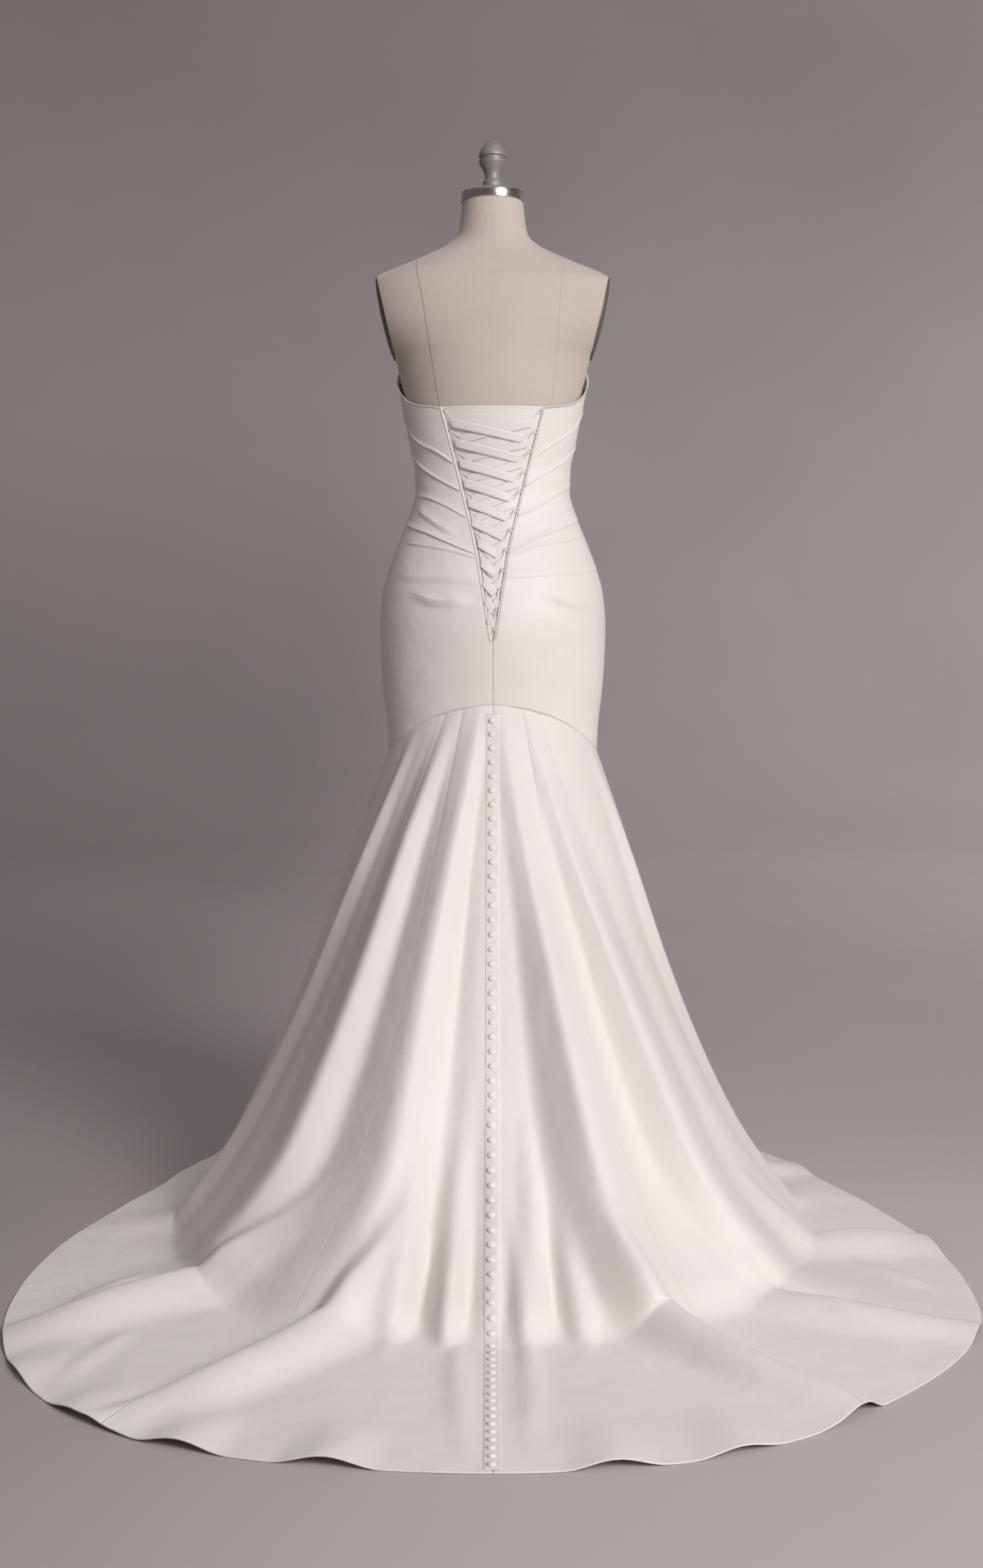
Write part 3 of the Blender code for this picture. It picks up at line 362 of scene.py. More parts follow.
def seam_lines(material, half_width, tones):
    """Draws seams over a cloth's colour, at the back alone. Tones are the shares of it left in each line."""
    tree, shader = material.node_tree, material.node_tree.nodes["Principled BSDF"]
    left, right, _ = parts(tree, piece_map(tree, "seams"))
    place = parts(tree, object_place(tree))
    back = maths(tree, "GREATER_THAN", place["Y"], 0.0)
    colour = shader.inputs["Base Color"].links[0].from_socket
    for distance, tone in zip((left, right, place["X"]), tones):
        away = maths(tree, "ABSOLUTE", distance)
        line = map_range(tree, away, (0.0, half_width, 1 - tone, 0.0), smooth=True)
        drawn = maths(tree, "SUBTRACT", 1.0, maths(tree, "MULTIPLY", line, back))
        colour = dimmed(tree, colour, drawn)
    tree.links.new(colour, shader.inputs["Base Color"])


seam_lines(LINEN, LINE_HALF_WIDTH, LINE_TONES)
print("lines drawn on", LINEN.name)

# %% [markdown]
# ## Metal
# The finial and cap are turned metal with fine rings round them from the tool. Noise that is stretched hard
# round the piece's axis makes those rings in the roughness and the bump. The stand is painted steel.

# %% Metal materials


def metal_material(name, colour, roughness, metallic, rings):
    """Turned or painted metal. Rings is how many tool marks there are to a metre."""
    material, tree, shader = new_material(name)
    place = object_place(tree)
    marks = noise(tree, stretched(tree, place, (1.0, 1.0, rings)), 6.0, 4.0, 0.6)
    smudge = noise(tree, place, 25.0, 3.0)
    wear = maths(tree, "MULTIPLY", maths(tree, "ADD", marks, smudge), 0.5)
    darker = tuple(0.8 * value for value in colour)
    tree.links.new(spread_value(tree, wear, *roughness), shader.inputs["Roughness"])
    tree.links.new(mixed(tree, spread_value(tree, smudge, 0.0, 1.0), darker, colour),
                   shader.inputs["Base Color"])
    tree.links.new(bump(tree, marks, 0.00005, 0.5), shader.inputs["Normal"])
    shader.inputs["Metallic"].default_value = metallic
    return material


FINIAL_METAL = metal_material("turned_metal", (0.34, 0.315, 0.305), (0.46, 0.58), 0.35, 60.0)
CAP_METAL = metal_material("brushed_cap", (0.62, 0.60, 0.585), (0.20, 0.30), 1.0, 90.0)
PLATE_METAL = metal_material("dark_plate", (0.150, 0.135, 0.125), (0.42, 0.54), 0.4, 20.0)
STAND_STEEL = metal_material("stand_steel", (0.045, 0.045, 0.047), (0.35, 0.48), 0.5, 8.0)
print("metals:", FINIAL_METAL.name, CAP_METAL.name, PLATE_METAL.name, STAND_STEEL.name)

# %% [markdown]
# ## Paper
# Studio paper is matt and one colour, but it looks darker where less light reaches it. Flags that keep light
# off the top and off one side could do that with more lamps. Here that shade is painted into the tone, which
# falls off smoothly, costs nothing to render and stays put when the lamps move. A painted shadow of the dress
# darkens the floor and the foot of the wall towards the wearer's left.

# %% Paper material
PAPER_LOW, PAPER_HIGH = (0.50, 0.455, 0.445), (0.54, 0.49, 0.48)
# Each fall of the painted shade: the axis, where it starts and ends, and the tone before and after.
PAINTED_SHADE_UP, PAINTED_SHADE_SIDE = ("Z", 1.4, 4.0, 1.0, 0.80), ("X", -1.5, 2.6, 1.0, 0.92)
# The painted shadow of the dress: where it grows towards the wearer's left, where it fades up the wall, and
# its depth.
DRESS_SHADOW_SIDE, DRESS_SHADOW_TOP, DRESS_SHADOW_DEPTH = ("X", -0.15, 1.0, 1.0, 0.0), ("Z", 0.4, 2.2, 1.0, 0.0), 0.30


def paper_material():
    """Matt paper with painted shade that darkens it gently upwards and, on the floor most of all as a painted
    shadow of the dress, towards the wearer's left.
    """
    material, tree, shader = new_material("studio_paper")
    place = object_place(tree)
    axes = parts(tree, place)

    def fall(axis, *limits):
        return map_range(tree, axes[axis], limits, smooth=True)

    tone = mixed(tree, spread_value(tree, noise(tree, place, 0.8), 0.0, 1.0), PAPER_LOW, PAPER_HIGH)
    # A painted shadow of the dress on the floor, towards the wearer's left and fading up the wall.
    corner = maths(tree, "MULTIPLY", maths(tree, "SUBTRACT", 1.0, fall(*DRESS_SHADOW_SIDE)), fall(*DRESS_SHADOW_TOP))
    floor = maths(tree, "SUBTRACT", 1.0, maths(tree, "MULTIPLY", corner, DRESS_SHADOW_DEPTH))
    # The painted shade: darker upwards and to one side, and darker still in the painted shadow.
    shade = maths(tree, "MULTIPLY", maths(tree, "MULTIPLY", fall(*PAINTED_SHADE_UP), fall(*PAINTED_SHADE_SIDE)), floor)
    tree.links.new(dimmed(tree, tone, shade), shader.inputs["Base Color"])
    shader.inputs["Roughness"].default_value = 0.9
    return material


sweep.data.materials.append(paper_material())
print("paper on", sweep.name)

# %% [markdown]
# ## The figure
# Everything is cut to one figure, a short table of level sections. A smooth curve through the rows gives the
# half width and the depth at any height. The curve never swings past a row, so the waist stays where it is.

# %% Smooth curves through tables


def smooth_curve(xs, ys, x, even=False):
    """A smooth curve through the rows (xs, ys), read at x. It never swings past a row.

    Even: mirrored at both ends. With a table of two dimensions, each x reads its own column.
    """
    xs, ys = np.array(xs, float), np.array(ys, float)
    if even:
        xs = np.concatenate([2 * xs[0] - xs[:0:-1], xs, 2 * xs[-1] - xs[-2::-1]])
        ys = np.concatenate([ys[:0:-1], ys, ys[-2::-1]])
    steps = np.diff(xs).reshape(-1, *[1] * (ys.ndim - 1))
    slopes = np.diff(ys, axis=0) / steps
    product, total = slopes[1:] * slopes[:-1], slopes[1:] + slopes[:-1]
    turning = np.where(product > 0, 2 * product / np.where(product > 0, total, 1.0), 0.0)
    tangents = np.concatenate([slopes[:1], turning, slopes[-1:]])
    x = np.clip(x, xs[0], xs[-1])
    i = np.clip(np.searchsorted(xs, x) - 1, 0, len(xs) - 2)
    here, after = ((i, i + 1) if ys.ndim == 1 else ((i, np.arange(len(x))), (i + 1, np.arange(len(x)))))
    h = xs[i + 1] - xs[i]
    t = (x - xs[i]) / h
    return (ys[here] * (1 + 2 * t) * (1 - t) ** 2 + ys[after] * t * t * (3 - 2 * t)
            + h * (tangents[here] * t * (1 - t) ** 2 - tangents[after] * t * t * (1 - t)))


def column(table, k, x, even=False):
    """The smooth curve through one column of a table, read at x in its first column."""
    return smooth_curve(table[:, 0], table[:, k], x, even)


def bell(x):
    """A smooth hump, 1 at 0 and 0 from -1 and 1 outwards."""
    return np.where(np.abs(x) < 1, 0.5 + 0.5 * np.cos(np.pi * np.clip(x, -1, 1)), 0.0)


def wrapped(turn):
    """An angle brought between minus and plus half a turn."""
    return np.remainder(np.asarray(turn) + np.pi, 2 * np.pi) - np.pi


print("halfway along a curve from 0 to 1:", float(smooth_curve((0, 1), (0, 1), 0.5)))

# %% The figure
# Height, half width, depth of the back, depth of the front, and where the section's middle lies.
FIGURE = np.array((
    (0.690, 0.1610, 0.1080, 0.1020, 0.0), (0.745, 0.1630, 0.1110, 0.1040, 0.0),
    (0.800, 0.1690, 0.1160, 0.1060, 0.0), (0.850, 0.1730, 0.1230, 0.1090, 0.0),
    (0.910, 0.1745, 0.1290, 0.1110, 0.0), (0.960, 0.1700, 0.1240, 0.1090, 0.0),
    (1.000, 0.1590, 0.1130, 0.1060, 0.0), (1.040, 0.1440, 0.0990, 0.1010, 0.0),
    (1.080, 0.1280, 0.0850, 0.0950, 0.0), (1.120, 0.1170, 0.0770, 0.0910, 0.0),
    (1.150, 0.1180, 0.0770, 0.0930, 0.0), (1.200, 0.1270, 0.0850, 0.1030, 0.0),
    (1.240, 0.1350, 0.0920, 0.1140, 0.0), (1.290, 0.1460, 0.0990, 0.1180, 0.0),
    (1.330, 0.1570, 0.1030, 0.1100, 0.0), (1.350, 0.1740, 0.1040, 0.1050, 0.0),
    (1.380, 0.1960, 0.1040, 0.0980, 0.0), (1.420, 0.2060, 0.0980, 0.0860, 0.0),
    (1.445, 0.2000, 0.0900, 0.0760, 0.0), (1.460, 0.1760, 0.0820, 0.0690, -0.001),
    (1.475, 0.1400, 0.0730, 0.0620, -0.002), (1.490, 0.1050, 0.0640, 0.0570, -0.004),
    (1.505, 0.0740, 0.0580, 0.0530, -0.005), (1.520, 0.0580, 0.0540, 0.0510, -0.006),
    (1.545, 0.0525, 0.0520, 0.0500, -0.008), (1.571, 0.0500, 0.0500, 0.0490, -0.011),
))
BUST_AZIMUTH, BUST_SPREAD, BUST_Z, BUST_TALL, BUST_RISE = 146.0, 41.6, 1.235, 0.088, 0.022
CLOTH, GOWN_OUT, SEAM_GAP, STEP = 0.0020, 0.0036, 0.0003, 0.004
CENTRE_GAP, TRUMPET_GAP = 0.0001, 0.0002


def section_at(z, turn):
    """Half width, depth and middle of the figure at a height, on the side that the turn faces."""
    half_width, back, front, centre = (column(FIGURE, k, z) for k in (1, 2, 3, 4))
    return half_width, np.where(np.cos(turn) > 0, back, front), centre


def body_point(turn, z, out):
    """Points this far outside the figure. The turn is the section's own angle, 0 at the centre back."""
    turn = wrapped(turn)
    half_width, depth, centre = section_at(z, turn)
    normal = np.stack([np.sin(turn) / half_width, np.cos(turn) / depth], axis=-1)
    normal /= np.linalg.norm(normal, axis=-1, keepdims=True)
    bust = BUST_RISE * bell((np.abs(np.degrees(turn)) - BUST_AZIMUTH) / BUST_SPREAD)
    lift = out + bust * bell((z - BUST_Z) / BUST_TALL)
    return np.stack([half_width * np.sin(turn) + normal[..., 0] * lift,
                     depth * np.cos(turn) + centre + normal[..., 1] * lift, z + 0 * turn], axis=-1)


def back_point(across, z, out):
    """Points of the back this far to the wearer's left of its middle."""
    across, z = np.broadcast_arrays(np.asarray(across, float), np.asarray(z, float))
    half_width = column(FIGURE, 1, z)
    return body_point(np.arcsin(np.clip(across / half_width, -1, 1)), z, out)


print("waist half width:", round(float(section_at(np.array([1.12]), 0)[0][0]), 4))

# %% [markdown]
# ## A piece of cloth
# Every cut piece starts as a flat grid of threads. Its points are then bent on to the surface that the tables
# give, and a wall of even thickness goes on inside. The grid keeps two maps: metres on the cut piece, which
# the weave follows, and metres from the nearest seams.

# %% Grid of cloth


def edged(width, pitch, edge=(0.0, 0.0012, 0.0028, 0.0050, 0.0080)):
    """Shares across a piece of this width, even inside and close together along its two seams."""
    inside = np.linspace(edge[-1], width - edge[-1], max(int((width - 2 * edge[-1]) / pitch), 2) + 1)
    return np.concatenate([edge[:-1], inside, width - np.array(edge[-2::-1])]) / width


def mesh_values(items, name, kind=float, size=3):
    """One value of every vertex, face or corner, as an array."""
    values = np.zeros(len(items) * size, kind)
    items.foreach_get(name, values)
    return values.reshape(-1, size) if size > 1 else values


def map_metres(mesh, across, along, name="metres"):
    """Gives a mesh a map in metres from two arrays, one value a point."""
    corners = mesh_values(mesh.loops, "vertex_index", int, 1)
    layer = mesh.uv_layers.new(name=name)
    layer.data.foreach_set("uv", np.stack([across, along], axis=-1)[corners].ravel())


def bent_grid(name, across, along, place, width, height):
    """A mesh from a flat grid. Place turns shares across and rows along into points."""
    bm = bmesh.new()
    bmesh.ops.create_grid(bm, x_segments=len(across) - 1, y_segments=len(along) - 1, size=0.5)
    mesh = finished_mesh(bm, name)
    flat = mesh_values(mesh.vertices, "co") + 0.5
    u = across[np.rint(flat[:, 0] * (len(across) - 1)).astype(int)]
    v = along[np.rint(flat[:, 1] * (len(along) - 1)).astype(int)]
    mesh.vertices.foreach_set("co", place(u, v).ravel())
    mesh.update()
    x, y = u * width, (v - along[0]) / (along[-1] - along[0]) * height
    map_metres(mesh, x, y)
    map_metres(mesh, np.minimum(x, width - x), np.minimum(y, height - y), "seams")
    normals, middles = (mesh_values(mesh.polygons, name) for name in ("normal", "center"))
    if (normals[:, :2] * middles[:, :2]).sum() < 0:
        mesh.flip_normals()
    return mesh


print("points across 0.19 m at a pitch of 3 mm:", len(edged(0.19, 0.0030)))

# %% Pieces of the dress


def add_piece(mesh, material, node):
    """An object for a mesh in place, with its finish. It rides on the one body and stands for a solid."""
    mesh.materials.append(material)
    obj = in_scene(mesh.name, mesh)
    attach(obj, BODY)
    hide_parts(node)
    return obj


def satin_shell(mesh, node, thickness=0.8 * CLOTH):
    """A satin piece with a wall, which goes inwards from the face that shows."""
    obj = add_piece(mesh, SATIN, node)
    wall = obj.modifiers.new("wall", "SOLIDIFY")
    wall.thickness = thickness
    wall.offset = -1
    wall.use_even_offset = False
    return obj


print("wall of the cut pieces, in mm:", round(0.8 * CLOTH * 1000, 2))

# %% [markdown]
# ## Bodice and hips
# The bodice is draped: strips of satin are laid round the body as shallow pleats and caught in the seams.
# Each pleat's lower edge is a rounded fold that stands off the strip below, crisp above the waist and softer
# over the hips, where the folds fade out before the side. Simulation would give soft folds in places of its
# own, so the pleats are rows of a table for each side, and rows of the grid run along each fold.

# %% Pleat tables
# Heights of each fold at the lacing edge, at the quarters of the panel and at the side seam. Then how far it
# stands out, how wide it rolls, how wide it drops, and the shares across the panel between which it shows.
LEFT_PLEATS = np.array((
    (1.2465, 1.2500, 1.2560, 1.2690, 1.2870, 0.0000, 0.003, 0.002, 0.0, 1.0),
    (1.1610, 1.1800, 1.1930, 1.2110, 1.2433, 0.0028, 0.0032, 0.0018, 0.0, 0.95),
    (1.1183, 1.1345, 1.1503, 1.1675, 1.1843, 0.0028, 0.0030, 0.0018, 0.0, 1.0),
    (1.0767, 1.0960, 1.1075, 1.1135, 1.1251, 0.0022, 0.0040, 0.0025, 0.0, 0.8),
    (1.0480, 1.0620, 1.0815, 1.0960, 1.1030, 0.0028, 0.0070, 0.0100, 0.25, 0.55),
    (1.0202, 1.0402, 1.0558, 1.0650, 1.0715, 0.0030, 0.0045, 0.0018, 0.0, 0.86),
    (1.0150, 1.0278, 1.0350, 1.0400, 1.0430, 0.0018, 0.0040, 0.0030, 0.0, 0.55),
    (0.9796, 0.9852, 0.9870, 0.9880, 0.9895, 0.0030, 0.0110, 0.0120, 0.0, 0.50),
    (0.9530, 0.9500, 0.9620, 0.9700, 0.9740, 0.0050, 0.0060, 0.0160, 0.18, 0.32),
    (0.7870, 0.7800, 0.7560, 0.7290, 0.7060, 0.0000, 0.003, 0.002, 0.0, 1.0),
))
RIGHT_PLEATS = np.array((
    (1.2465, 1.2500, 1.2560, 1.2690, 1.2870, 0.0000, 0.003, 0.002, 0.0, 1.0),
    (1.1660, 1.1880, 1.2040, 1.2235, 1.2480, 0.0028, 0.0032, 0.0018, 0.15, 1.0),
    (1.1235, 1.1437, 1.1590, 1.1755, 1.1900, 0.0029, 0.0030, 0.0018, 0.0, 1.0),
    (1.0773, 1.0940, 1.1120, 1.1235, 1.1322, 0.0022, 0.0035, 0.0020, 0.0, 0.9),
    (1.0500, 1.0660, 1.0860, 1.0980, 1.1040, 0.0014, 0.0090, 0.0100, 0.30, 0.80),
    (1.0190, 1.0450, 1.0600, 1.0700, 1.0760, 0.0022, 0.0045, 0.0024, 0.0, 0.80),
    (1.0140, 1.0330, 1.0415, 1.0495, 1.0540, 0.0018, 0.0040, 0.0030, 0.1, 0.75),
    (0.9854, 0.9892, 0.9930, 0.9975, 1.0010, 0.0020, 0.0090, 0.0060, 0.0, 0.85),
    (0.9570, 0.9600, 0.9450, 0.9380, 0.9360, 0.0040, 0.0060, 0.0150, 0.36, 0.50),
    (0.7870, 0.7800, 0.7560, 0.7290, 0.7060, 0.0000, 0.003, 0.002, 0.0, 1.0),
))
PLEAT_STATIONS = (0.0, 0.25, 0.5, 0.75, 1.0)
LAST_BAND = len(LEFT_PLEATS) - 2
# The rows of the grid, in shares of the way from a fold to the next one down, and below the last fold.
FOLD_SHARES = (0.0, 0.012, 0.03, 0.055, 0.09, 0.14, 0.20, 0.27, 0.34, 0.42, 0.50, 0.58, 0.66, 0.74, 0.81,
               0.87, 0.915, 0.95, 0.975, 0.99)
HIP_SHARES = np.concatenate([[0.0, 0.004, 0.01, 0.02, 0.03, 0.042, 0.055], np.linspace(0.07, 0.97, 44),
                             [0.98, 0.99, 0.995, 1.0]])
PLEAT_ROWS = np.array([0.0, 0.006, 0.014]
                      + [i + share for i in range(LAST_BAND) for share in FOLD_SHARES][1:]
                      + list(LAST_BAND + HIP_SHARES))
print("pleats a side:", LAST_BAND, "rows:", len(PLEAT_ROWS))

# %% The front's folds
# Heights over the bust and at the centre front.
FRONT_HEIGHTS = np.array((
    (1.3350, 1.3020), (1.2620, 1.2700), (1.2050, 1.2220), (1.1500, 1.1720), (1.1180, 1.1360),
    (1.0850, 1.1010), (1.0560, 1.0680), (1.0000, 1.0050), (0.9620, 0.9660), (0.7300, 0.7480),
))
# The rise of each, and the shares of the way to the centre where it starts and ends.
FRONT_FOLDS = np.array((
    (0.0000, 0.0, 1.00), (0.0028, 0.0, 0.90), (0.0028, 0.0, 1.00), (0.0022, 0.1, 0.80),
    (0.0016, 0.3, 1.00), (0.0028, 0.0, 1.00), (0.0016, 0.2, 0.70), (0.0014, 0.25, 0.75),
    (0.0010, 0.35, 0.60), (0.0000, 0.0, 1.00),
))
print("folds in front:", int((FRONT_FOLDS[:, 0] > 0).sum()))

# %% [markdown]
# ### The open V and the trumpet seam
# Two lines bound the panels. At the centre back they stop at the V, whose half width is a short table, and
# below it they meet. At the bottom they end at the trumpet seam, which dips from the back to the sides. Both
# could be cut out of a whole tube, but as curves they give clean edges for the next pieces to meet.

# %% The open V and the trumpet seam
V_EDGES = np.array(((0.8800, 0.0004), (0.9500, 0.0112), (1.0200, 0.0222), (1.1000, 0.0400),
                    (1.1700, 0.0570), (1.2465, 0.0768)))
# The binding on the wearer's left (1) is a broad roll. The one on the right (-1) is a narrow edge.
BINDING_WIDTHS, BINDING_THICKS = {1: 0.0046, -1: 0.0022}, {1: 0.0028, -1: 0.0021}
BINDING_FOOT_Z, BINDING_FOOT_DROP = 0.8870, 0.0047
BACK_SHARES = np.array((0.0, 0.07, 0.2, 0.36, 0.52, 0.68, 0.84, 1.0))
SEAM_TURNS = np.concatenate([90 * BACK_SHARES, 90 + 11.25 * np.arange(1, 9)])
SEAM_HEIGHTS = smooth_curve((0, 30, 90, 135, 180),
                            (LEFT_PLEATS[-1, 0], 0.7690, LEFT_PLEATS[-1, 4], *FRONT_HEIGHTS[-1]),
                            SEAM_TURNS, even=True)


def v_half(z):
    """Half the width of the open V at a height."""
    return column(V_EDGES, 1, z)


def seam_z(turn):
    """The height of the trumpet seam."""
    return np.interp(np.abs(np.degrees(wrapped(turn))), SEAM_TURNS, SEAM_HEIGHTS)


print("trumpet seam from", SEAM_HEIGHTS.min(), "to", SEAM_HEIGHTS.max())

# %% Shape of the pleats
FADE_IN, FADE_OUT = 0.14, 0.20
TOP_ROLL, TOP_ROLL_REACH = 0.0008, 0.0025
FAINT_DIP = (0.0002, 0.0018)


def pleat_places(lines, folds, place, v):
    """Heights of points on a panel, how far the pleats lift them, and the band that they are in.

    Lines holds each fold's height at every point, and folds its rise, roll, drop, start and end.
    """
    band = np.minimum(v.astype(int), LAST_BAND)
    share = v - band
    pick = np.arange(len(v))
    high, low = lines[band, pick], lines[band + 1, pick]
    below, above = share * (high - low), (1 - share) * (high - low)

    def shown(i):
        come = np.clip((place - folds[i, 3]) / FADE_IN + 1, 0, 1)
        fade = come * np.clip((folds[i, 4] - place) / FADE_OUT + 1, 0, 1)
        return folds[i, 0] * fade**2 * (3 - 2 * fade)

    uneven = 0.85 + 0.25 * np.sin(7.0 * place + 2.1 * band) * np.cos(3.0 * place - band)
    lift = shown(band) * (1 - np.clip(below / folds[band, 2], 0, 1) ** 2) ** 1.5
    roll = 0.40 * share**2 + 0.60 * np.exp(-(above / folds[band + 1, 1]) ** 2)
    lift = lift + shown(band + 1) * uneven * roll
    lift = lift + np.where(band == 0, TOP_ROLL * np.exp(-(below / TOP_ROLL_REACH) ** 2), 0.0)
    return high + share * (low - high), lift, band


def seam_dip(edge, depth=0.0009, reach=0.0028):
    """How far cloth dips towards a seam, from its distance to it."""
    return -depth * np.exp(-(edge / reach) ** 2)


def panel_point(turn, z, v, lift, band, side=1):
    """Points of a panel. Its last row ends at the trumpet seam and dips to it."""
    z = np.where(v > LAST_BAND + 1 - 1e-6, seam_z(turn) + TRUMPET_GAP / 2, z)
    lift = lift + seam_dip(z - seam_z(turn), *FAINT_DIP) * (band == LAST_BAND)
    return body_point(side * turn, z, GOWN_OUT + CLOTH + lift)


print("dip at a seam, in mm:", round(float(seam_dip(0.0)) * 1000, 2))

# %% Back panels
BACK_WIDTH, BACK_HEIGHT, BACK_PITCH = 0.19, 0.50, 0.0030
BACK_RELIEFS = (0.7, 1.0, 1.0, 1.0, 1.0, 0.9, 0.8, 0.6)


def back_panel(node, side, pleats):
    """The cloth from the lacing edge, or the centre seam below it, to the side seam."""

    def place(u, v):
        at_edge, at_side = (np.repeat(pleats[:, k:k + 1], len(v), axis=1) for k in (0, 4))
        lines = np.stack([smooth_curve(PLEAT_STATIONS, row[:5], u) for row in pleats])
        z, lift, band = pleat_places(lines, pleats[:, 5:], u, v)
        edge_z = pleat_places(at_edge, pleats[:, 5:], 0 * u, v)[0]
        side_z = pleat_places(at_side, pleats[:, 5:], 0 * u + 1, v)[0]
        open_here = edge_z > BINDING_FOOT_Z - 0.001
        start = np.where(open_here, v_half(edge_z) + BINDING_WIDTHS[side] + SEAM_GAP, CENTRE_GAP / 2)
        low = np.arcsin(start / column(FIGURE, 1, edge_z))
        high = np.pi / 2 - SEAM_GAP / 2 / column(FIGURE, 2, side_z)
        lift = lift * smooth_curve(BACK_SHARES, BACK_RELIEFS, u) + seam_dip((1 - u) * BACK_WIDTH)
        lift = lift + np.where(open_here, 0.0, seam_dip(u * BACK_WIDTH, 0.0002, 0.0016))
        return panel_point(low + u * (high - low), z, v, lift, band, side)

    across = edged(BACK_WIDTH, BACK_PITCH)
    mesh = bent_grid(node + "_cloth", across, PLEAT_ROWS, place, BACK_WIDTH, BACK_HEIGHT)
    panel = satin_shell(mesh, node)
    return panel


BACK_PANELS = [back_panel("back_panel_left", 1, LEFT_PLEATS),
               back_panel("back_panel_right", -1, RIGHT_PLEATS)]
print("back panel faces:", [len(panel.data.polygons) for panel in BACK_PANELS])

# %% [markdown]
# ### Front panel
# The front is one piece from side seam to side seam, over the bust to a dipped neckline. It could be cut in
# two halves, but one piece keeps its folds in one line across the middle. They start at the side seams where
# those of the back end. The ones over the hips fade in only after the side seam, so the hips' outline stays
# clean.

# %% Front panel
FRONT_WIDTH, FRONT_HEIGHT, FRONT_PITCH = 0.44, 0.58, 0.0040


def front_panel(node):
    """The cloth from side seam to side seam, over the bust."""
    sides = (LEFT_PLEATS[:, 4], RIGHT_PLEATS[:, 4])
    folds = np.column_stack([FRONT_FOLDS[:, 0], LEFT_PLEATS[:, 6:8], FRONT_FOLDS[:, 1:]])

    def place(u, v):
        share = 1 - np.abs(1 - 2 * u)
        curves = [[smooth_curve((0, 0.5, 1), (side[k], *FRONT_HEIGHTS[k]), share) for side in sides]
                  for k in range(len(FRONT_HEIGHTS))]
        lines = np.stack([np.where(u < 0.5, left, right) for left, right in curves])
        z, lift, band = pleat_places(lines, folds, share, v)
        at_side = np.where(u[None] < 0.5, sides[0][:, None], sides[1][:, None])
        side_z = pleat_places(at_side, folds, 0 * u, v)[0]
        low = np.pi / 2 + SEAM_GAP / 2 / column(FIGURE, 3, side_z)
        lift = lift * (0.6 + 0.4 * np.minimum(3 * share, 1)) + seam_dip(np.minimum(u, 1 - u) * FRONT_WIDTH)
        return panel_point(low + 2 * (np.pi - low) * u, z, v, lift, band)

    across = edged(FRONT_WIDTH, FRONT_PITCH)
    return satin_shell(bent_grid(node + "_cloth", across, PLEAT_ROWS, place, FRONT_WIDTH, FRONT_HEIGHT), node)


FRONT_PANEL = front_panel("front_panel")
print("front panel faces:", len(FRONT_PANEL.data.polygons))

# %% [markdown]
# ## Lacing
# Under the open V lies a plain modesty panel with a rolled top edge, so that no linen shows between the
# ribbons. It is a flat strip of satin that could be left smooth, but it is pulled a little as the dress is
# laced. So it has a few slack ripples in its middle, which fade out towards both ends.

# %% Modesty panel
MODESTY_OUT, MODESTY_THICK, MODESTY_LAP = 0.0010, 0.0010, 0.014
MODESTY_TOP_Z, MODESTY_BOTTOM_Z, MODESTY_WIDTH, MODESTY_HEIGHT = 1.2475, 0.8660, 0.18, 0.38
RIPPLE, RIPPLE_Z, RIPPLE_TALL = 0.0005, 1.06, 0.19


def modesty_panel(node):
    """The plain cloth under the open V, rolled at its top."""

    def place(u, v):
        z = MODESTY_TOP_Z + (MODESTY_BOTTOM_Z - MODESTY_TOP_Z) * v
        across = (2 * u - 1) * (v_half(z) + MODESTY_LAP)
        soft = RIPPLE * np.sin(across * 90 + 3 * v) * np.sin(21 * v + 1.3)
        soft = soft * bell((z - RIPPLE_Z) / RIPPLE_TALL)
        roll = 0.0010 * np.exp(-((MODESTY_TOP_Z - z - 0.002) / 0.0016) ** 2)
        return back_point(across, z, MODESTY_OUT + MODESTY_THICK + soft + roll)

    rows = np.concatenate([np.linspace(0, 0.03, 9), np.linspace(0.04, 1, 90)])
    mesh = bent_grid(node + "_cloth", np.linspace(0, 1, 49), rows, place, MODESTY_WIDTH, MODESTY_HEIGHT)
    return satin_shell(mesh, node, MODESTY_THICK)


MODESTY_PANEL = modesty_panel("modesty_panel")
print("modesty panel points:", len(MODESTY_PANEL.data.vertices))

# %% [markdown]
# ### Bindings and loops
# Each edge of the V is a rolled strip of satin with twelve loops of cord sewn under it. A curve with a round
# bevel would do for the cords, but not for the strip, whose roll is lopsided. So both are sections in a row,
# which are sewn to a closed tube. The left binding is a broad roll, and the right one stands on its edge.

# %% Swept strips


def swept(name, sections):
    """A closed piece through sections with the same number of points, from a grid that is sewn to a tube."""
    sections = np.asarray(sections)
    rows, around = sections.shape[0], sections.shape[1]
    bm = bmesh.new()
    bmesh.ops.create_grid(bm, x_segments=around, y_segments=rows - 1, size=0.5)
    for vert in bm.verts:
        along, row = round((vert.co.x + 0.5) * around), round((vert.co.y + 0.5) * (rows - 1))
        vert.co = Vector(sections[row, along % around])
    bmesh.ops.remove_doubles(bm, verts=bm.verts[:], dist=1e-6)
    bmesh.ops.holes_fill(bm, edges=[edge for edge in bm.edges if edge.is_boundary])
    bmesh.ops.recalc_face_normals(bm, faces=bm.faces[:])
    return finished_mesh(bm, name)


def unit(vectors):
    """Vectors brought to a length of 1."""
    return vectors / np.maximum(np.linalg.norm(vectors, axis=-1, keepdims=True), 1e-12)


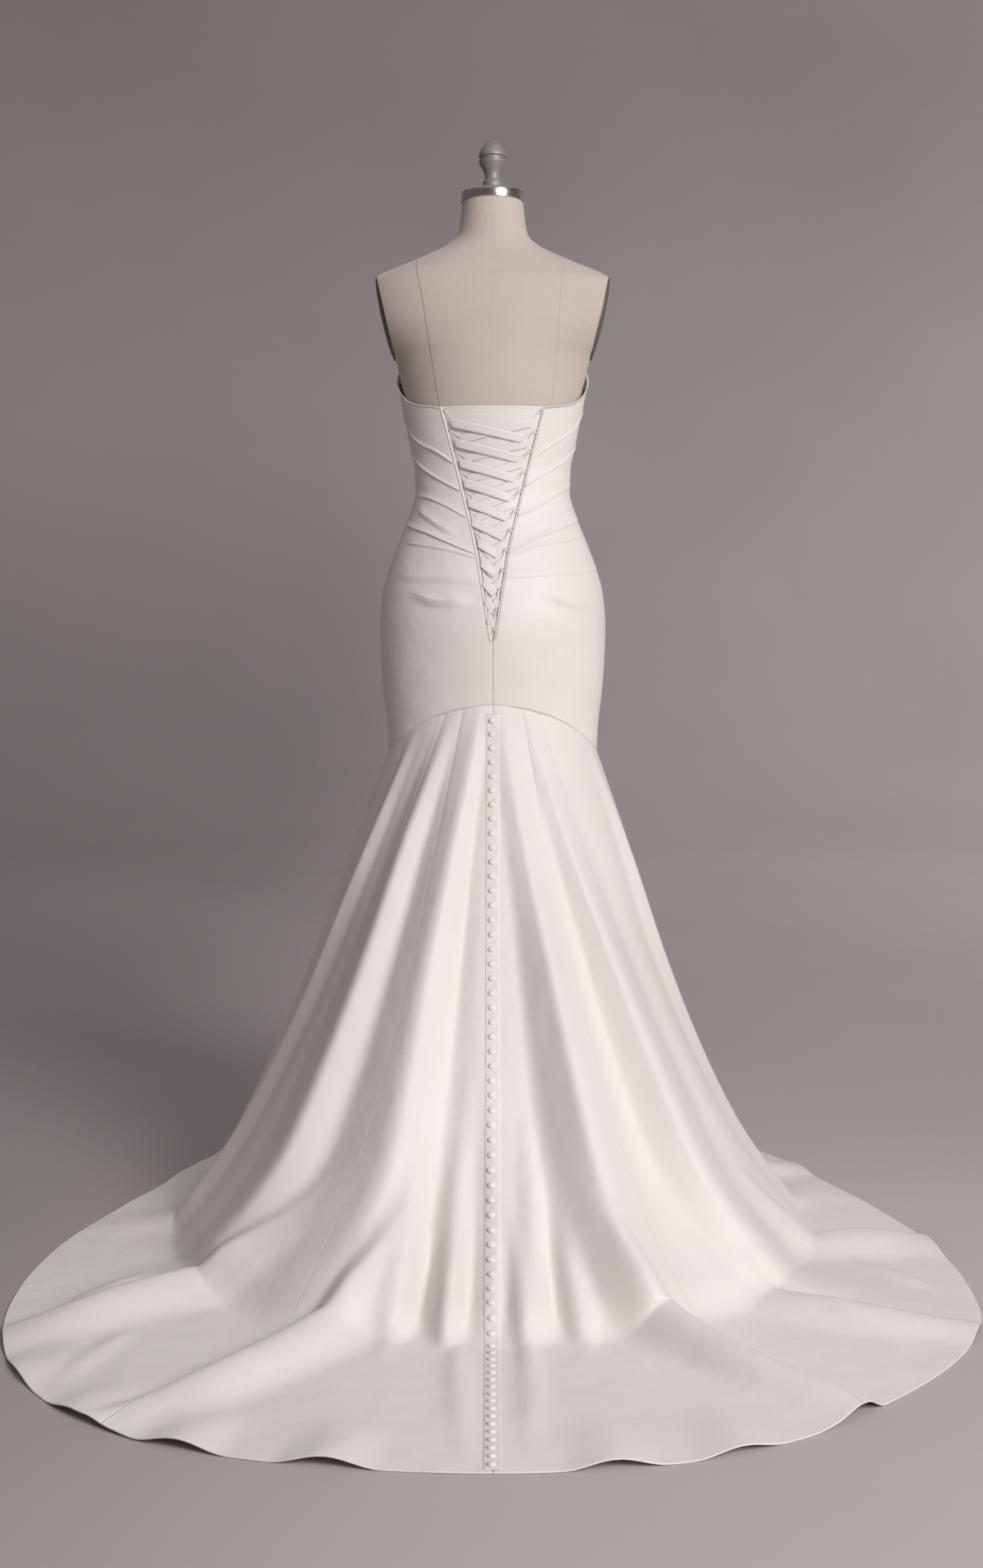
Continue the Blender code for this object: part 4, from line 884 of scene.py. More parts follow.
def tube_sections(path, radius, around=8):
    """Round sections along a path."""
    ahead = unit(np.gradient(path, axis=0))
    out = unit(np.cross(ahead, np.broadcast_to((0.0, 0.0, 1.0), ahead.shape)) + 1e-9)
    up = np.cross(out, ahead)
    turn = np.linspace(0, 2 * np.pi, around, endpoint=False)[None, :, None]
    return path[:, None] + radius * (out[:, None] * np.cos(turn) + up[:, None] * np.sin(turn))


# %% Loops
LOOPS, LOOP_TOP_Z, LOOP_PITCH, LOOP_SHARE, LOOP_ROOT, LOOP_END = 12, 1.2400, 0.0305, 0.6, 0.0035, 0.0024
LOOP_RADIUS = 0.00065
# The loops of the wearer's left (1) lie low under the binding. Those of the right (-1) stand out.
LOOP_DEPTHS, CORD_OUTS = {1: 0.0024, -1: 0.0045}, {1: 0.0030, -1: 0.0064}


def loop_place(level, side):
    """A loop's height, the lacing edge there and the loop's far end."""
    z = LOOP_TOP_Z - level * LOOP_PITCH
    edge = float(v_half(z))
    return z, side * edge, side * (edge - min(LOOP_DEPTHS[side], LOOP_SHARE * edge))


def loop_tube(level, side):
    """Points of one loop's cord, out of the binding and back."""
    z, edge, end = loop_place(level, side)
    turns = np.linspace(-1, 1, 13)
    across = end + (edge + side * 0.002 - end) * np.abs(turns) ** 2.2
    heights = z - (LOOP_END + (LOOP_ROOT - LOOP_END) * np.abs(turns)) * np.sin(turns * np.pi / 2)
    return back_point(across, heights, CORD_OUTS[side])


print("loop ends, in mm from the middle:", [round(loop_place(0, side)[2] * 1000, 1) for side in (1, -1)])

# %% Bindings
# Shares round the section, from its inner edge over the top, and heights in shares of its thickness.
BINDING_SHARES = np.array((0.0, 0.06, 0.20, 0.42, 0.66, 0.88, 1.0, 1.0, 0.80, 0.50, 0.20, 0.05))
BINDING_LEVELS = np.array((0.40, 0.76, 0.95, 1.0, 0.93, 0.80, 0.72, 0.20, 0.0, 0.0, 0.0, 0.14))
FOOT_START_Z = 0.91


def binding(name, side, node):
    """The rolled binding of one lacing edge, and its loops, as one piece."""
    z = np.linspace(V_EDGES[-1, 0], BINDING_FOOT_Z, 150)
    drop = np.clip((FOOT_START_Z - z) / (FOOT_START_Z - BINDING_FOOT_Z), 0, 1) ** 2
    near_z = z - BINDING_FOOT_DROP * drop
    near, far = v_half(near_z), v_half(z) + BINDING_WIDTHS[side]
    pucker = 0.00025 * np.sin(z * 2 * np.pi / 0.0085) * np.sin(z * 61.0)
    across = side * (near[:, None] + (far - near)[:, None] * BINDING_SHARES)
    levels = near_z[:, None] + (z - near_z)[:, None] * BINDING_SHARES
    out = GOWN_OUT + (BINDING_THICKS[side] + pucker[:, None]) * BINDING_LEVELS
    tape = swept("tape", back_point(across, levels, out))
    bm = bmesh.new()
    bm.from_mesh(tape)
    bpy.data.meshes.remove(tape)
    for level in range(LOOPS):
        cord = swept("loop", tube_sections(loop_tube(level, side), LOOP_RADIUS))
        bm.from_mesh(cord)
        bpy.data.meshes.remove(cord)
    mesh = finished_mesh(bm, name)
    points = mesh_values(mesh.vertices, "co")
    map_metres(mesh, points[:, 0], points[:, 2])
    piece = add_piece(mesh, SATIN, node)
    return piece


BINDINGS = [binding("lacing_binding_left", 1, "loop_tape_left"),
            binding("lacing_binding_right", -1, "loop_tape_right")]
print("loops:", LOOPS * 2, "binding faces:", [len(piece.data.polygons) for piece in BINDINGS])

# %% [markdown]
# ### Ribbons
# Two satin ribbons go zigzag down the V. A ribbon is gathered to a neck where it turns over the end of a loop
# and opens out in between, and it passes over its partner one way and under it on the way back. Simulation
# would let them slide, so each is swept through the loops, and its open part hangs a little under their line.

# %% Ribbon sections
LACE_WIDTH, LACE_NECK, LACE_THICK, SHORT_RUNG_WIDTH, RUNG_DROP = 0.0140, 0.0028, 0.0007, 0.34, 1.15
TURN_LIFTS = {1: 0.0006, -1: 0.0014}
# Shares along a rung where the ribbon leaves its gathered neck, lies open, closes and is a neck again.
LONG_RUNG, SHORT_RUNG = (0.065, 0.095, 0.86, 0.91), (0.12, 0.19, 0.76, 0.85)
# How far out the open ribbon lies at those shares, above and below the other ribbon.
OVER_OUTS, UNDER_OUTS = (0.0066, 0.0070, 0.0040, 0.0048), (0.0034, 0.0032, 0.0031, 0.0031)


def strip_sections(centres, wides, thicks, widths, height, points=7):
    """Rounded flat sections: a row of points on the upper face and a row on the lower one."""
    share = np.linspace(-1, 1, points)
    out = thicks[:, None] * (0.5 * (1 - 0.55 * np.abs(share) ** 6) * height)[None, :, None]
    across = wides[:, None] * (share[None, :, None] * widths[:, None, None] / 2)
    return np.concatenate([centres[:, None] + across + out,
                           (centres[:, None] + across - out)[:, ::-1]], axis=1)


def back_normal(across, z):
    """The way straight out of the back at a place."""
    side = back_point(across + STEP, z, 0) - back_point(across - STEP, z, 0)
    up = back_point(across, z + STEP, 0) - back_point(across, z - STEP, 0)
    return unit(np.cross(up, side))


def upwards(vector):
    """The vector or its opposite, whichever points up."""
    return vector if vector[2] > 0 else -vector


def loop_turn(level, side):
    """Centres, ways across, ways out and widths of a ribbon that turns over the end of a loop."""
    z, edge, end = loop_place(level, side)
    out, lift = CORD_OUTS[side], TURN_LIFTS[side]
    normal, centre = back_normal(end, z), back_point(end, z, out)
    outward = unit(back_point(edge, z, out) - centre)
    up = upwards(unit(np.cross(normal, outward)))
    steps = ((-0.0002, lift, normal), (0.0012, 0.4 * lift, unit(outward + normal * 0.5)),
             (0.0012, -0.4 * lift, unit(outward - normal * 0.5)), (-0.0002, -lift, -normal))
    return [(centre + outward * across + normal * rise, up, thick, LACE_NECK)
            for across, rise, thick in steps]


print("sections in a turn:", len(loop_turn(0, 1)))

# %% Rungs of a ribbon


def rung(level, side, over):
    """Sections of one ribbon between a loop and the next one down on the other side."""
    z_from, _, from_end = loop_place(level, side)
    z_to, _, to_end = loop_place(level + 1, -side)
    run, fall, sign = to_end - from_end, z_to - z_from, 1 if over else -1
    span = math.hypot(run, fall)
    leaves, opened, closing, closed = SHORT_RUNG if span < 4 * LACE_WIDTH else LONG_RUNG
    width = min(LACE_WIDTH, SHORT_RUNG_WIDTH * span)
    shares = np.concatenate([
        leaves * np.array((0.3, 0.65, 1)), [(leaves + opened) / 2, opened, opened + 0.03],
        np.linspace(opened + 0.07, closing - 0.07, 8), [closing - 0.03, closing],
        [(closing + closed) / 2], closed + (1 - closed) * np.array((0, 0.35, 0.7)),
    ])
    stations = (0, leaves, opened, closing, closed, 1)
    ends = [CORD_OUTS[end] + sign * TURN_LIFTS[end] for end in (side, -side)]
    outs = smooth_curve(stations, (ends[0], *(OVER_OUTS if over else UNDER_OUTS), ends[1]), shares)
    low, corner = -RUNG_DROP * width, -RUNG_DROP * width + (width - LACE_NECK) / 2
    across = from_end + shares * run
    z = z_from + shares * fall + smooth_curve(stations, (0, corner, low, low, corner, 0), shares)
    widths = smooth_curve(stations, (LACE_NECK, LACE_NECK, width, width, LACE_NECK, LACE_NECK), shares)
    sections = []
    for x, height, out, wide in zip(across, z, outs, widths):
        centre, normal = back_point(x, height, out), back_normal(x, height)
        ahead = back_point(x + run * STEP, height + fall * STEP, out) - centre
        sections.append((centre, upwards(unit(np.cross(normal, ahead))), normal * sign, wide))
    return sections


print("sections in a rung:", len(rung(0, 1, True)))

# %% Ribbons


def ribbon(node, first_side):
    """One ribbon down the V. It passes over towards the wearer's right and under towards the left."""
    over, side = first_side > 0, first_side
    start = loop_turn(0, side)
    sections = start[::-1] if over else start
    for level in range(LOOPS - 1):
        sections = sections + rung(level, side, over)
        side = -side
        turn = loop_turn(level + 1, side)
        sections = sections + (turn if over else turn[::-1])
        over = not over
    centres, wides, thicks, widths = (np.array(values) for values in zip(*sections))
    mesh = swept(node + "_ribbon", strip_sections(centres, wides, thicks, widths, LACE_THICK))
    points = mesh_values(mesh.vertices, "co")
    map_metres(mesh, points[:, 0], points[:, 2])
    length = float(np.linalg.norm(np.diff(centres, axis=0), axis=1).sum())
    return add_piece(mesh, RIBBON, node), length


for lace_node, first_side in (("lace_a", 1), ("lace_b", -1)):
    lace, lace_length = ribbon(lace_node, first_side)
    print(lace_node, "length", round(lace_length, 3))

# %% [markdown]
# ## Skirt and train
# Below the trumpet seam seven gores flare to a train. A table says how far the cloth is from the axis at
# each height and azimuth. Each flute of the skirt is one row: the azimuth of its crest on the way down, the
# widths of its two flanks and its height. A steep flank next to a broad one gives the crisp edge that heavy
# satin has, so the flanks have their own widths. The gores share one surface and meet at their seams.

# %% Flare and hem
# The shares of the way down where the flare is given, and the heights at the inner ones.
FLARE_STATIONS = (0.0, 0.16, 0.30, 0.44, 0.57, 0.68, 0.76, 1.0)
FLARE_HEIGHTS = (0.55, 0.40, 0.25, 0.12, 0.04, 0.0)
# Azimuth, and the distance from the axis at each of those heights.
FLARES = np.array((
    (0, 0.256, 0.355, 0.483, 0.617, 0.725, 0.800), (20, 0.254, 0.350, 0.472, 0.600, 0.705, 0.775),
    (45, 0.240, 0.315, 0.408, 0.505, 0.585, 0.640), (70, 0.223, 0.272, 0.336, 0.408, 0.470, 0.512),
    (90, 0.219, 0.265, 0.322, 0.380, 0.425, 0.455), (120, 0.195, 0.242, 0.298, 0.352, 0.394, 0.420),
    (150, 0.176, 0.223, 0.278, 0.332, 0.373, 0.398), (180, 0.170, 0.216, 0.270, 0.324, 0.365, 0.390),
))
# Azimuth and the hem's distance from the axis on the wearer's left and right.
HEMS = np.array((
    (0, 1.190, 1.190), (10, 1.186, 1.181), (18, 1.176, 1.146), (25, 1.140, 1.092), (34, 1.056, 1.025),
    (42, 0.957, 0.955), (50, 0.853, 0.860), (60, 0.738, 0.752), (75, 0.604, 0.622), (92, 0.525, 0.537),
    (112, 0.503, 0.502), (135, 0.470, 0.470), (160, 0.440, 0.440), (180, 0.430, 0.430),
))
print("reach of the train:", HEMS[0, 1], "reach of the hem in front:", HEMS[-1, 1])

# %% Folds of the skirt
FOLD_STATIONS = (0.0, 0.15, 0.30, 0.50, 0.70, 0.85, 1.0)
FLANK_SHARES = (0.25, 0.42, 0.62, 0.88, 1.0, 1.0, 1.0)
# Seven azimuths of the crest, the flanks towards and away from the centre back, and six heights.
FOLDS = (
    (9.5, 13.6, 14.6, 13.7, 17, 18, 18, 0.080, 0.138, 0.020, 0.031, 0.040, 0.018, 0, 0),
    (11, 11, 11, 9.5, 14.8, 18.9, 23.5, 0.085, 0.036, 0, 0, 0.002, 0.025, 0.028, 0.005),
    (8, 8, 8.3, 8, 7, 5, 5, 0.055, 0.030, -0.002, -0.006, -0.011, -0.006, 0, 0),
    (29, 32.5, 32.3, 31.5, 37.5, 40, 41, 0.080, 0.115, 0.018, 0.027, 0.032, 0.018, 0.006, 0),
    (24, 24, 24, 23, 34.0, 38.2, 40.5, 0.090, 0.036, 0, 0, 0, 0.022, 0.025, 0.005),
    (54, 55.5, 60, 62, 63, 66, 68, 0.072, 0.080, 0.012, 0.019, 0.022, 0.018, 0.008, 0),
    (92, 91, 90, 88, 90, 92, 94, 0.080, 0.070, 0.007, 0.014, 0.018, 0.016, 0.008, 0.003),
    (124, 121, 118, 116, 116, 116, 116, 0.070, 0.080, 0.006, 0.014, 0.018, 0.018, 0.012, 0.008),
    (150, 147, 144, 142, 142, 142, 142, 0.080, 0.060, 0.006, 0.014, 0.020, 0.018, 0.010, 0.006),
    (172, 170, 168, 167, 166, 166, 166, 0.050, 0.065, 0.004, 0.012, 0.018, 0.016, 0.010, 0.006),
    (-6, -11.0, -12.8, -13.2, -15.4, -18, -20, 0.074, 0.110, 0.013, 0.036, 0.058, 0.036, 0.004, 0),
    (-11, -11, -11, -11, -15.6, -19, -23.5, 0.060, 0.032, 0, 0, 0, 0.022, 0.030, 0.010),
    (-24, -27.5, -29.2, -29.0, -33.5, -39, -43, 0.064, 0.130, 0.014, 0.031, 0.044, 0.030, 0.008, 0),
    (-26, -26, -26, -26, -29.8, -34.5, -41, 0.070, 0.032, 0, 0, 0, 0.008, 0.024, 0.009),
    (-50, -50, -48, -42, -52, -58.5, -63, 0.090, 0.036, 0, 0, 0, 0.010, 0.020, 0.007),
    (-72, -68, -66, -66, -74, -82, -85, 0.085, 0.080, 0.010, 0.016, 0.012, 0.008, 0.006, 0),
    (-104, -104, -102, -101, -100, -100, -100, 0.070, 0.060, 0.005, 0.012, 0.016, 0.017, 0.012, 0.005),
    (-130, -129, -128, -127, -126, -126, -126, 0.060, 0.080, 0.006, 0.015, 0.019, 0.020, 0.010, 0.006),
    (-156, -155, -152, -150, -150, -150, -150, 0.060, 0.055, 0.005, 0.013, 0.018, 0.017, 0.010, 0.006),
)
print("folds of the skirt:", len(FOLDS))

# %% Dents, lobes and waves
# Soft dents and lobes beside the buttons, where the train meets the floor. Each one runs from an azimuth and
# a share of the way down to another such pair, and then come its half width and its height.
DENTS = (
    (2.6, 0.40, 2.1, 0.80, 0.032, -0.007), (4.9, 0.46, 4.3, 0.80, 0.030, 0.009),
    (7.6, 0.58, 7.2, 0.82, 0.024, -0.006), (10.0, 0.52, 9.5, 0.82, 0.030, 0.006),
    (3.8, 0.70, 1.4, 0.99, 0.026, 0.006),
    (-1.7, 0.56, -1.9, 0.80, 0.022, -0.006), (-3.1, 0.60, -2.8, 0.84, 0.024, 0.007),
    (-5.1, 0.44, -4.9, 0.78, 0.026, 0.006), (-6.7, 0.52, -6.4, 0.78, 0.024, -0.006),
    (-8.8, 0.54, -8.4, 0.81, 0.030, 0.006), (-3.7, 0.72, -2.1, 0.97, 0.024, 0.006),
    (33.0, 0.86, 30.0, 0.98, 0.030, 0.004), (44.0, 0.80, 41.0, 0.95, 0.035, 0.006),
    (-33.0, 0.82, -35.0, 0.97, 0.030, 0.005), (-50.0, 0.82, -47.0, 0.96, 0.030, 0.006),
    (120.0, 0.60, 128.0, 0.85, 0.035, -0.008), (-132.0, 0.58, -126.0, 0.84, 0.035, -0.008),
    (172.0, 0.62, 176.0, 0.88, 0.035, 0.008),
)
# How much further out than the flare the foot of the wall stands, lobe by lobe, by azimuth.
LOBES = np.array((
    (-18, 0), (-13, 0.006), (-8.6, 0.014), (-6.5, -0.010), (-4.9, 0.006), (-2.9, 0.024), (-0.8, 0.004),
    (0.8, 0.002), (2.4, -0.014), (4.5, 0.022), (7.4, -0.014), (10, 0.014), (14, 0.002), (18, 0),
))
LOBE_V, LOBE_REACH = 0.71, 0.16
# Where the hem lifts off the floor: azimuth, half width in degrees, height.
WAVES = ((33.5, 3.6, 0.007), (25.5, 3.2, 0.010), (17.6, 3.2, 0.012), (9.0, 3.2, 0.012), (-6.6, 3.0, 0.011),
         (-13.8, 3.0, 0.009), (-22.0, 3.4, 0.006))
WAVE_REACH = 0.10
print("dents:", len(DENTS), "waves of the hem:", len(WAVES))

# %% Skirt surface
# The shares of a flank that curve at its crest, at the crest of a roll on the floor and at its foot.
CREST_ROUND, ROLL_ROUND, FOOT_ROUND = 0.16, 0.42, 0.40
# The shares of a dent over which it fades at its ends, and the height under which hollows end on the floor.
DENT_FADE, FLOOR_EASE = 0.38, 0.035


def ridge(x, crest_round):
    """A fold's profile, 1 at 0 and 0 from -1 and 1 outwards: flat flanks, a rounded crest and soft feet."""
    t = np.clip(np.abs(x), 0, 1)
    steep = 1 / (1 - crest_round / 2 - FOOT_ROUND / 2)
    crest = 1 - steep * t**2 / (2 * crest_round)
    foot = steep * (1 - t) ** 2 / (2 * FOOT_ROUND)
    flank = 1 - steep * (t - crest_round / 2)
    return np.where(t < crest_round, crest, np.where(t > 1 - FOOT_ROUND, foot, flank))


def dent_height(degrees, v, radius):
    """How far the dents and lobes beside the buttons raise the cloth."""
    height = 0.0
    for from_turn, from_v, to_turn, to_v, half_width, lift in DENTS:
        t = (v - from_v) / (to_v - from_v)
        past = np.radians(degrees - from_turn - (to_turn - from_turn) * t) * radius
        ends = np.clip(np.minimum(t, 1 - t) / DENT_FADE, 0, 1)
        height = height + lift * ends * ends * (3 - 2 * ends) * bell(past / half_width / (0.55 + 0.45 * ends))
    return height


def turn_of(azimuth, z):
    """The section's own angle for an azimuth."""
    half_width, depth, _ = section_at(z, azimuth)
    return np.arctan2(np.sin(azimuth) / half_width, np.cos(azimuth) / depth)


def skirt_top(azimuth, out):
    """The skirt's top edge, under the trumpet seam."""
    z = seam_z(azimuth)
    for _ in range(4):
        turn = turn_of(azimuth, z)
        z = seam_z(turn)
    return body_point(turn, z - TRUMPET_GAP / 2, out)


def skirt_base(azimuth, v):
    """The under side of the skirt before its folds: v is 0 at the trumpet seam and 1 at the hem."""
    azimuth = wrapped(azimuth)
    degrees = np.abs(np.degrees(azimuth))
    top = skirt_top(azimuth, GOWN_OUT)
    hem = np.where(azimuth >= 0, column(HEMS, 1, degrees, even=True),
                   column(HEMS, 2, degrees, even=True))
    flares = [column(FLARES, k, degrees, even=True) for k in range(1, 7)]
    radius = smooth_curve(FLARE_STATIONS, np.stack([np.hypot(top[:, 0], top[:, 1]), *flares, hem]), v)
    radius = radius + (column(LOBES, 1, np.degrees(azimuth))
                       * bell((v - LOBE_V) / LOBE_REACH))
    levels = [np.full(len(v), height) for height in (*FLARE_HEIGHTS, 0.0)]
    height = smooth_curve(FLARE_STATIONS, np.stack([top[:, 2], *levels]), v)
    return np.stack([radius * np.sin(azimuth), radius * np.cos(azimuth), height], axis=-1)


def fold_height(azimuth, v, radius):
    """How far the folds and the hem's waves raise the skirt here."""
    degrees = np.degrees(wrapped(azimuth))
    share = smooth_curve(FOLD_STATIONS, FLANK_SHARES, v)
    crest_round = smooth_curve((0, 0.6, 0.8, 1), (CREST_ROUND, CREST_ROUND, ROLL_ROUND, ROLL_ROUND), v)
    height = dent_height(degrees, v, radius)
    for fold in FOLDS:
        crest = smooth_curve(FOLD_STATIONS, fold[:7], v)
        past = np.radians(degrees - crest) * radius
        flank = np.where(past * crest > 0, fold[8], fold[7]) * share
        height = height + smooth_curve(FOLD_STATIONS, (0.0, *fold[9:]), v) * ridge(past / flank, crest_round)
    for middle, half_width, lift in WAVES:
        height = height + lift * bell((degrees - middle) / half_width) * bell((1 - v) / WAVE_REACH)
    return height


def skirt_under(azimuth, v):
    """The under side of the skirt, folds and all."""
    base = skirt_base(azimuth, v)
    before, after = skirt_base(azimuth, np.maximum(v - STEP, 0)), skirt_base(azimuth, np.minimum(v + STEP, 1))
    run = np.hypot(after[:, 0], after[:, 1]) - np.hypot(before[:, 0], before[:, 1])
    slope = unit(np.stack([before[:, 2] - after[:, 2], run], axis=-1))
    height = fold_height(azimuth, v, np.hypot(base[:, 0], base[:, 1]))
    height = np.where(height < 0, height * np.clip(base[:, 2] / FLOOR_EASE, 0, 1), height)
    base[:, 0] += np.sin(azimuth) * slope[:, 0] * height
    base[:, 1] += np.cos(azimuth) * slope[:, 0] * height
    base[:, 2] = np.maximum(base[:, 2] + slope[:, 1] * height, 0.0)
    return base


def skirt_point(azimuth, v, out):
    """Points this far outside the skirt's under side."""
    around = skirt_under(azimuth + STEP, v) - skirt_under(azimuth - STEP, v)
    down = skirt_under(azimuth, np.minimum(v + STEP, 1)) - skirt_under(azimuth, np.maximum(v - STEP, 0))
    normal = unit(np.cross(around, down))
    flat = unit(np.stack([normal[:, 0], normal[:, 1], 0 * v], axis=-1))
    normal = unit(np.where(v[:, None] < 1e-6, flat, normal))
    return skirt_under(azimuth, v) + normal * np.asarray(out).reshape(-1, 1)


print("skirt's top edge at the centre back:", skirt_top(np.zeros(1), GOWN_OUT).round(4))

# %% [markdown]
# ### Gores
# The skirt is sewn from seven gores, one in front and three on each side. A single sheet would hold the same
# surface, but each gore has its own grain and its own grid, and its edges dip to the seams. The seams show in
# the upper skirt and are pulled smooth further down.

# %% Gores
SEAMS = {
    "centre": (0, 0, 0, 0, 0, 0, 0),
    "back": (21.5, 20, 19, 18.5, 20, 22, 23),
    "side_back": (34.5, 36, 41, 45, 48, 50, 50),
    "side_front": (116, 110, 107, 106, 106, 106, 106),
}
SEAM_FADE, GORE_DIP, TOP_DIP = 0.22, (0.0006, 0.003), (0.0003, 0.002)
GORE_LENGTH, GORE_PITCH, FRONT_GORE_PITCH = 1.35, 0.006, 0.0094
GORE_ROWS = np.concatenate([[0.0, 0.001, 0.0025, 0.005, 0.009], np.linspace(0.014, 0.985, 200),
                            [0.99, 0.994, 0.997, 0.999, 1.0]])


def seam_azimuth(seam, v, sign=1, whole_turns=0):
    """Where a seam lies on the way down. Sign -1 is the wearer's right."""
    return np.radians(sign * smooth_curve(FOLD_STATIONS, SEAMS[seam], v) + 360 * whole_turns)


def gore(node, low, high, pitch):
    """One gore between two seams, each (seam, sign, whole turns). Its shell is the solid's outer face."""
    hem_width = float(abs(seam_azimuth(high[0], np.array([0.75]), *high[1:])
                          - seam_azimuth(low[0], np.array([0.75]), *low[1:]))[0]) * 0.75

    def place(u, v):
        start, end = seam_azimuth(low[0], v, *low[1:]), seam_azimuth(high[0], v, *high[1:])
        radius = np.hypot(*skirt_base(start, v)[:, :2].T)
        start, end = start + SEAM_GAP / 2 / radius, end - SEAM_GAP / 2 / radius
        azimuth = start + (end - start) * u
        edge = np.minimum(u, 1 - u) * (end - start) * radius
        dip = seam_dip(edge, *GORE_DIP) * np.exp(-((v / SEAM_FADE) ** 2)) + seam_dip(v * 1.2, *TOP_DIP)
        return skirt_point(azimuth, v, CLOTH + dip)

    across = edged(hem_width, pitch)
    return satin_shell(bent_grid(node + "_cloth", across, GORE_ROWS, place, hem_width, GORE_LENGTH), node)


for kind, near, far in (("back", "centre", "back"), ("mid", "back", "side_back"),
                        ("side", "side_back", "side_front")):
    gore(f"skirt_{kind}_left", (near, 1, 0), (far, 1, 0), GORE_PITCH)
    gore(f"skirt_{kind}_right", (far, -1, 0), (near, -1, 0), GORE_PITCH)
gore("skirt_front", ("side_front", 1, 0), ("side_front", -1, 1), FRONT_GORE_PITCH)


# %% [markdown]
# ## Buttons
# A strip covers the centre seam of the skirt, with sixty covered buttons in a row. Each button is a small
# dome of satin drawn over a shell and gathered below, so it has a full top and a tucked-in foot. One dome is
# spun and then set down at equal steps along the strip.

# %% Button strip
PLACKET_WIDTH, PLACKET_THICK, PLACKET_GAP = 0.0205, 0.0008, 0.0003
STRIP_LENGTH = 1.40


def strip_point(across, v, out):
    """Points of the buttoned strip, from the skirt's own points moved out."""
    radius = skirt_base(0 * v, v)[:, 1]
    return skirt_point(np.arcsin(across / radius), v, CLOTH + PLACKET_GAP + out)


def strip(name, node):
    """The strip over the centre seam, with its long edges turned under."""
    rows = np.concatenate([[0.010, 0.0115, 0.014], np.linspace(0.018, 0.992, 260), [0.994, 0.996]])
    across_shares = np.array((0.0, 0.02, 0.06, 0.12, 0.2, 0.3, 0.4, 0.5, 0.6, 0.7, 0.8, 0.88, 0.94, 0.98,
                              1.0))

    def place(u, v):
        across = (2 * u - 1) * PLACKET_WIDTH / 2
        edge = np.minimum(u, 1 - u) * PLACKET_WIDTH
        soft = 0.00025 * np.sin(v * 260.0) * np.sin(u * 9.0 + v * 31.0)
        return strip_point(across, v, PLACKET_THICK - 0.0006 * np.exp(-(edge / 0.0015) ** 2) + soft)

    mesh = bent_grid(name, across_shares, rows, place, PLACKET_WIDTH, STRIP_LENGTH)
    return satin_shell(mesh, node, PLACKET_THICK * 0.65)


PLACKET = strip("button_strip", "button_placket")
print("strip faces:", len(PLACKET.data.polygons))

# %% Covered buttons
BUTTONS, BUTTON_SINK, BUTTON_ACROSS = 60, 0.0006, 0.0012
BUTTON_PROFILE = ((0.0034, 0.0), (0.0044, 0.0004), (0.0051, 0.0012), (0.0052, 0.0019), (0.0047, 0.0028),
                  (0.0036, 0.0036), (0.0020, 0.0041), (0.0, 0.0042))


def button_row(name, node):
    """Sixty buttons at equal steps along the middle of the strip."""
    v = np.linspace(0.01, 0.996, 800)
    line = strip_point(0 * v, v, PLACKET_THICK)
    along = np.concatenate([[0], np.cumsum(np.linalg.norm(np.diff(line, axis=0), axis=1))])
    places = (np.arange(BUTTONS) + 0.5) * along[-1] / BUTTONS
    button = turned_mesh("button", BUTTON_PROFILE, 14, fill=True)
    bm = bmesh.new()
    for i, place in enumerate(places):
        point = Vector([float(np.interp(place, along, line[:, k])) for k in range(3)])
        ahead = Vector([float(np.interp(place + 0.002, along, line[:, k])) for k in range(3)]) - point
        ahead = ahead.normalized() if ahead.length > 0 else Vector((0, 1, 0))
        out = Vector((1, 0, 0)).cross(ahead).normalized()
        out = out if out.z + out.y > 0 else -out
        lean = 0.10 * math.sin(2.3 * i) * (1 - 0.5 * i / BUTTONS)
        out = (out + Vector((lean * 0.6, 0, -0.12))).normalized()
        turned = Matrix((Vector((1, 0, 0)), out.cross(Vector((1, 0, 0))), out)).transposed().to_4x4()
        before = set(bm.verts)
        bm.from_mesh(button)
        shift = Vector((BUTTON_ACROSS + 0.0004 * math.sin(4.1 * i), 0, 0)) - out * BUTTON_SINK
        bmesh.ops.transform(bm, matrix=Matrix.Translation(point + shift) @ turned,
                            verts=[vert for vert in bm.verts if vert not in before])
    mesh = finished_mesh(bm, name)
    points = mesh_values(mesh.vertices, "co")
    map_metres(mesh, points[:, 0], points[:, 1] + points[:, 2])
    return add_piece(mesh, SATIN, node)


BUTTON_ROW = button_row("covered_buttons", "button_placket")
print("buttons:", BUTTONS, "faces:", len(BUTTON_ROW.data.polygons))

# %% [markdown]
# ## The dress form
# The form is a padded torso under tight linen, cut flat at the armholes. The linen is a tube of points from
# the same figure as the gown, closed above and below. The armholes are cut with a plane and closed flat, and
# the cloth's own seams are drawn in the material from a map of the distance to them.

# %% Torso
TORSO_BOTTOM_Z, TORSO_TOP_Z, TORSO_OUT = 0.800, 1.571, -0.0015
NECK_LEAN, LEAN_START_Z = math.radians(5), 1.500
ARM_TOP, ARM_FOOT = Vector((0.1820, 0, 1.455)), Vector((0.1530, 0, 1.326))
# How far the long seams on the wearer's left and right are from the middle of the back, at each height.
BACK_SEAMS = np.array(((0.80, 0.062, 0.062), (1.12, 0.056, 0.062), (1.25, 0.083, 0.091), (1.33, 0.096, 0.099),
                       (1.42, 0.110, 0.105), (1.470, 0.119, 0.109), (1.571, 0.090, 0.090)))


